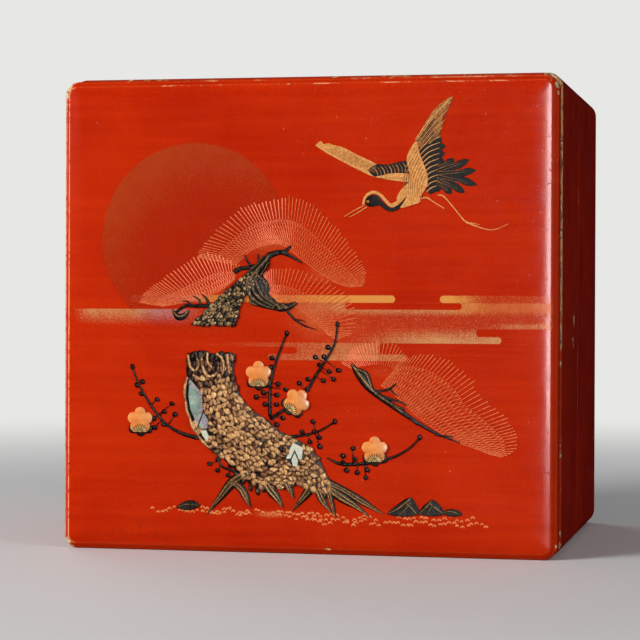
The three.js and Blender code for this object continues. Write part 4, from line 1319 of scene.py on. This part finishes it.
def make_crane():
    """A crane on the wing: gold body and quills, black secondaries, neck and tail."""
    gold, brown, black = 0, 1, 2
    bm = bmesh.new()
    # Tail plumes, spread like a hand
    tips = [(37.6, 88.7), (41.2, 88.5), (42.9, 86), (43.2, 82.3), (40.2, 80.5), (37, 80.3)]
    for i, tip in enumerate(tips):
        root = between([33.6, 86.6], [33.2, 83.2], i / (len(tips) - 1))
        feather(bm, root, tip, 0.95, (0.2 + 0.02 * (i % 2)) * MM, black, 0.05 * (1 if i > 2 else -1))
        for lean in (-0.35, 0.35):
            quill(bm, [root[0], root[1] + lean], between(root, [tip[0], tip[1] + lean], 0.75), 0.05, 0.3 * MM, brown)
    # Upper wing: long primaries over a black band of secondaries
    painted(bm, [(27.9, 93.2), (29.9, 94.6), (33.9, 95), (34.6, 90.6), (34.5, 87), (33.9, 84), (33, 81.2),
                 (30.8, 80.7), (31, 84.6), (29.6, 88)], 0.24 * MM, black)
    for i in range(7):
        tip = between([35.4, 92], [34.4, 81.6], i / 6)
        feather(bm, [tip[0] - 3, tip[1] - 1.2], tip, 0.75, 0.26 * MM, black, 0.1)
    quills(bm, 10, ([28.6, 90.6], [30.9, 80.8]), ([34.2, 94.2], [33.4, 82.2]), 0.13, 0.36 * MM, [gold], 0.1)
    painted(bm, [(27.8, 93), (29.8, 96.8), (32.3, 100.5), (34.8, 102.9), (37.1, 104), (36.4, 101.8), (34.6, 98.8),
                 (34.9, 98), (34.2, 96), (33.6, 94.6), (31, 93.4), (29, 91.6)], 0.28 * MM, brown)
    for i in range(9):
        share = i / 8
        root = between([28.4, 93.4], [31.4, 92.6], share)
        tip = between([37, 103.9], [34.2, 94.6], share ** 0.8)
        quill(bm, root, tip, 0.1, 0.42 * MM, gold if i % 2 == 0 else brown, 0.03)
        if i < 8:
            feather(bm, [root[0] + 0.2, root[1] - 0.1], between(root, tip, 0.5), 0.24, 0.38 * MM, black)
    quill(bm, [28, 93.6], [37.1, 104], 0.16, 0.45 * MM, gold, 0.045)
    # Far wing: a long gold blade, its black secondaries, and gold coverts under them
    painted(bm, [(2.7, 92.4), (4.1, 93.5), (4.9, 92.7), (6.1, 93), (7.3, 92.5), (10, 91.8), (13, 90.2), (18.2, 87.7),
                 (19, 86.4), (17.8, 84.5), (12.1, 87.1), (6.7, 89.9)], 0.26 * MM, gold)
    for i in range(5):
        share = (i + 0.8) / 5.6
        quill(bm, between([18, 85.2], [18.2, 87.4], share), between([4.6, 91.4], [8.4, 92.2], share), 0.09,
              0.34 * MM, brown, 0.02)
    painted(bm, [(16, 86.2), (18.1, 87.6), (21, 87.5), (24, 88.2), (26.1, 88.2), (26.5, 85.6), (24, 85.4), (21, 85),
                 (17.9, 84.5)], 0.32 * MM, black)
    quills(bm, 9, ([18.6, 84.9], [25.6, 85.8]), ([17.4, 86.8], [24.8, 88]), 0.1, 0.42 * MM, [gold, brown], -0.12)
    painted(bm, [(17.8, 84.5), (19.3, 84.8), (22.8, 85.4), (27.2, 85), (27.2, 83.3), (23.7, 83.4), (21, 83.8)],
            0.36 * MM, gold)
    for i in range(7):
        start = between([19.6, 84.4], [26.4, 84.4], i / 6)
        quill(bm, start, [start[0] - 1.2, start[1] - 0.3], 0.04, 0.44 * MM, brown, 0.1)
    # Body, its feathers ruled in fine arcs
    painted(bm, [(23.4, 77.4), (23.4, 79.4), (24.4, 81.2), (26.2, 83), (26.9, 84), (26.2, 86.4), (25.9, 89.6),
                 (28.1, 93.2), (28.9, 90.6), (30, 87.7), (31, 84.8), (30.9, 82.2), (29.2, 79.4), (29.2, 78.2),
                 (26.6, 77.3), (24.6, 76.8)], 0.5 * MM, gold)
    quills(bm, 9, ([28, 91.8], [30.6, 84.6]), ([25.2, 80.4], [29.6, 79]), 0.1, 0.56 * MM, [brown], -0.1)
    # Crown, head and neck
    stroke(bm, [[14.9, 77.7, 0.3], [15.5, 79.6, 0.38], [17.2, 80.7, 0.42], [19, 80.2, 0.42], [20.6, 78.6, 0.42],
                [22, 77.4, 0.55], [24, 78, 0.9]], 0.32 * MM, FLAT, 4, gold, taper=False)
    dome(bm, spot(17.3, 78.5), 1.9 * UNIT, 1.45 * UNIT, 0.25, 0.5 * MM, material=black)
    for i in range(16):
        angle = -0.2 + i * 0.24
        stroke(bm, [[17.4 + 1.4 * math.cos(angle), 78.5 + math.sin(angle), 0.2],
                    [17.4 + 2.4 * math.cos(angle), 78.5 + 1.8 * math.sin(angle), 0.04]], 0.42 * MM, FLAT, 2, black)
    stroke(bm, [[18, 78.3, 1.1], [19.4, 77.9, 0.66], [20.6, 76.9, 0.6], [22.1, 76.4, 0.56], [23.6, 77, 0.5],
                [24.8, 78.2, 0.32], [25.9, 79.7, 0.06]], 0.58 * MM, FLAT, 4, black, taper=False)
    dome(bm, spot(16.1, 78.4, 0.3 * MM), 0.36 * UNIT, 0.34 * UNIT, 0, 0.3 * MM, material=gold)
    dome(bm, spot(16.1, 78.4, 0.45 * MM), 0.16 * UNIT, 0.16 * UNIT, 0, 0.24 * MM, material=black)
    quill(bm, [15.2, 77.5], [10.1, 74.7], 0.12, 0.3 * MM, gold, -0.02)
    quill(bm, [15.8, 77.1], [11.5, 74.6], 0.12, 0.3 * MM, gold, 0.02)
    # Legs and toes
    for line in ([[29.2, 79, 0.16], [30.8, 79.3, 0.2], [32.6, 78.2, 0.14], [35.2, 76.6, 0.12]],
                 [[33.5, 79.9, 0.1], [34.9, 79.7, 0.2], [37, 77.4, 0.14], [39.1, 74.9, 0.16], [40.5, 73.4, 0.2],
                  [43.8, 72, 0.14], [47.3, 71.3, 0.1], [51, 72.8, 0.05]],
                 [[41.5, 73.1, 0.12], [44, 72.6, 0.06]], [[39.9, 73.9, 0.12], [40.9, 73.1, 0.24], [42, 72.9, 0.1]]):
        stroke(bm, line, 0.25 * MM, FLAT, 3, gold)
    finish_piece("crane", bm, [feather_gold, feather_brown, feather_black], smooth=False)


make_lid()
make_tier("upper_tier_shell", "upper_tier", upper_tier_y, UPPER_TIER_DEPTH - SEAM_GAP,
          lip_inset - NEST_CLEARANCE, rebate_depth, RUBBED_RIM)
make_tier("lower_tier_shell", "lower_tier", lower_tier_y, LOWER_TIER_DEPTH, FOOT_WIDTH, FOOT_RISE, RIM_BEVEL)
make_trunk()
make_roots()
make_bough()
make_twigs()
make_rocks()
make_ground()
make_needles()
make_plum()
make_crane()
for name, (across, up, degrees) in BLOSSOMS.items():
    make_blossom(name, across, up, degrees)
for name, finish in SHELL_NODES.items():
    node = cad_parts[name]
    node.data.materials.clear()
    node.data.materials.append(finish)

# Stage: floor, lights, world and camera

FLOOR_RADIUS = 5.0
FLOOR_FADE = (0.35, 1.3)
FLOOR_SHADE = (0.3, 0.3, 0.3, 1)
STUDIO_PALE = (0.8, 0.8, 0.79, 1)
STUDIO_DIM = (0.17, 0.17, 0.175, 1)
BLACKNESS = (0, 0, 0, 1)
BOX_MIDDLE = (0, 0, 0.12)
CAMERA_PLACE = (0.2429, -1.2047, 0.1272)
CAMERA_YAW, CAMERA_PITCH, CAMERA_ROLL = math.radians(11.997), math.radians(0.511), math.radians(0.2)
CAMERA_LENS = 127.8


def make_floor():
    """A pale floor that turns into the backdrop's own tone away from the box."""
    material, n, shader, place = new_material("pale_floor", Roughness=0.7, Specular_IOR_Level=0.2)
    seen = n.add("LightPath").outputs["Is Camera Ray"]
    far = n.times(n.step(n.vector_math("LENGTH", place), *FLOOR_FADE), seen)
    near = n.blend(seen, FLOOR_SHADE, STUDIO_PALE)
    n.feed(shader.inputs["Base Color"], n.blend(far, near, BLACKNESS))
    n.feed(shader.inputs["Emission Color"], n.blend(far, BLACKNESS, STUDIO_PALE))
    shader.inputs["Emission Strength"].default_value = 1.0
    bm = bmesh.new()
    bmesh.ops.create_circle(bm, cap_ends=True, segments=64, radius=FLOOR_RADIUS)
    mesh = bpy.data.meshes.new("floor")
    bm.to_mesh(mesh)
    bm.free()
    mesh.materials.append(material)
    floor = bpy.data.objects.new("floor", mesh)
    bpy.context.scene.collection.objects.link(floor)
    floor.visible_glossy = False


def make_light(name, where, target, size, power, glossy=True, diffuse=True):
    data = bpy.data.lights.new(name, "AREA")
    data.shape = "RECTANGLE"
    data.size, data.size_y = size
    data.energy = power
    lamp = bpy.data.objects.new(name, data)
    lamp.location = where
    lamp.rotation_euler = (Vector(target) - Vector(where)).to_track_quat("-Z", "Y").to_euler()
    lamp.visible_camera = False
    lamp.visible_glossy = glossy
    lamp.visible_diffuse = diffuse
    bpy.context.scene.collection.objects.link(lamp)


def make_world():
    """Pale to the camera, dim to everything else."""
    world = bpy.data.worlds.new("studio")
    bpy.context.scene.world = world
    world.use_nodes = True
    n = Nodes(world.node_tree)
    seen = n.add("LightPath").outputs["Is Camera Ray"]
    n.feed(world.node_tree.nodes["Background"].inputs["Color"], n.blend(seen, STUDIO_DIM, STUDIO_PALE))
    world.cycles_visibility.glossy = False


def make_camera():
    data = bpy.data.cameras.new("camera")
    data.lens = CAMERA_LENS
    data.sensor_width = 36
    camera = bpy.data.objects.new("camera", data)
    camera.matrix_world = (Matrix.Translation(CAMERA_PLACE) @ Matrix.Rotation(CAMERA_YAW, 4, "Z")
                           @ Matrix.Rotation(math.pi / 2 - CAMERA_PITCH, 4, "X")
                           @ Matrix.Rotation(CAMERA_ROLL, 4, "Z"))
    bpy.context.scene.collection.objects.link(camera)
    bpy.context.scene.camera = camera


make_floor()
make_light("key", (-1.9, -2.0, 0.95), BOX_MIDDLE, (1.2, 1.2), 84, glossy=False)
make_light("back_fill", (-1.6, 2.0, 1.6), BOX_MIDDLE, (1.4, 1.4), 15, glossy=False)
make_light("edge_strip", (0.52, -0.95, 0.33), (0.12, -0.1, 0.2), (0.17, 0.7), 13.4, diffuse=False)
make_light("left_strip", (-1.5, 0.0, 0.15), (-0.12, -0.1, 0.12), (0.14, 0.8), 1.4, diffuse=False)
make_light("side_fill", (1.5, -0.9, 0.5), (0.12, 0, 0.12), (0.6, 0.9), 8, glossy=False)
make_world()
make_camera()
bpy.context.scene.view_settings.view_transform = "Standard"
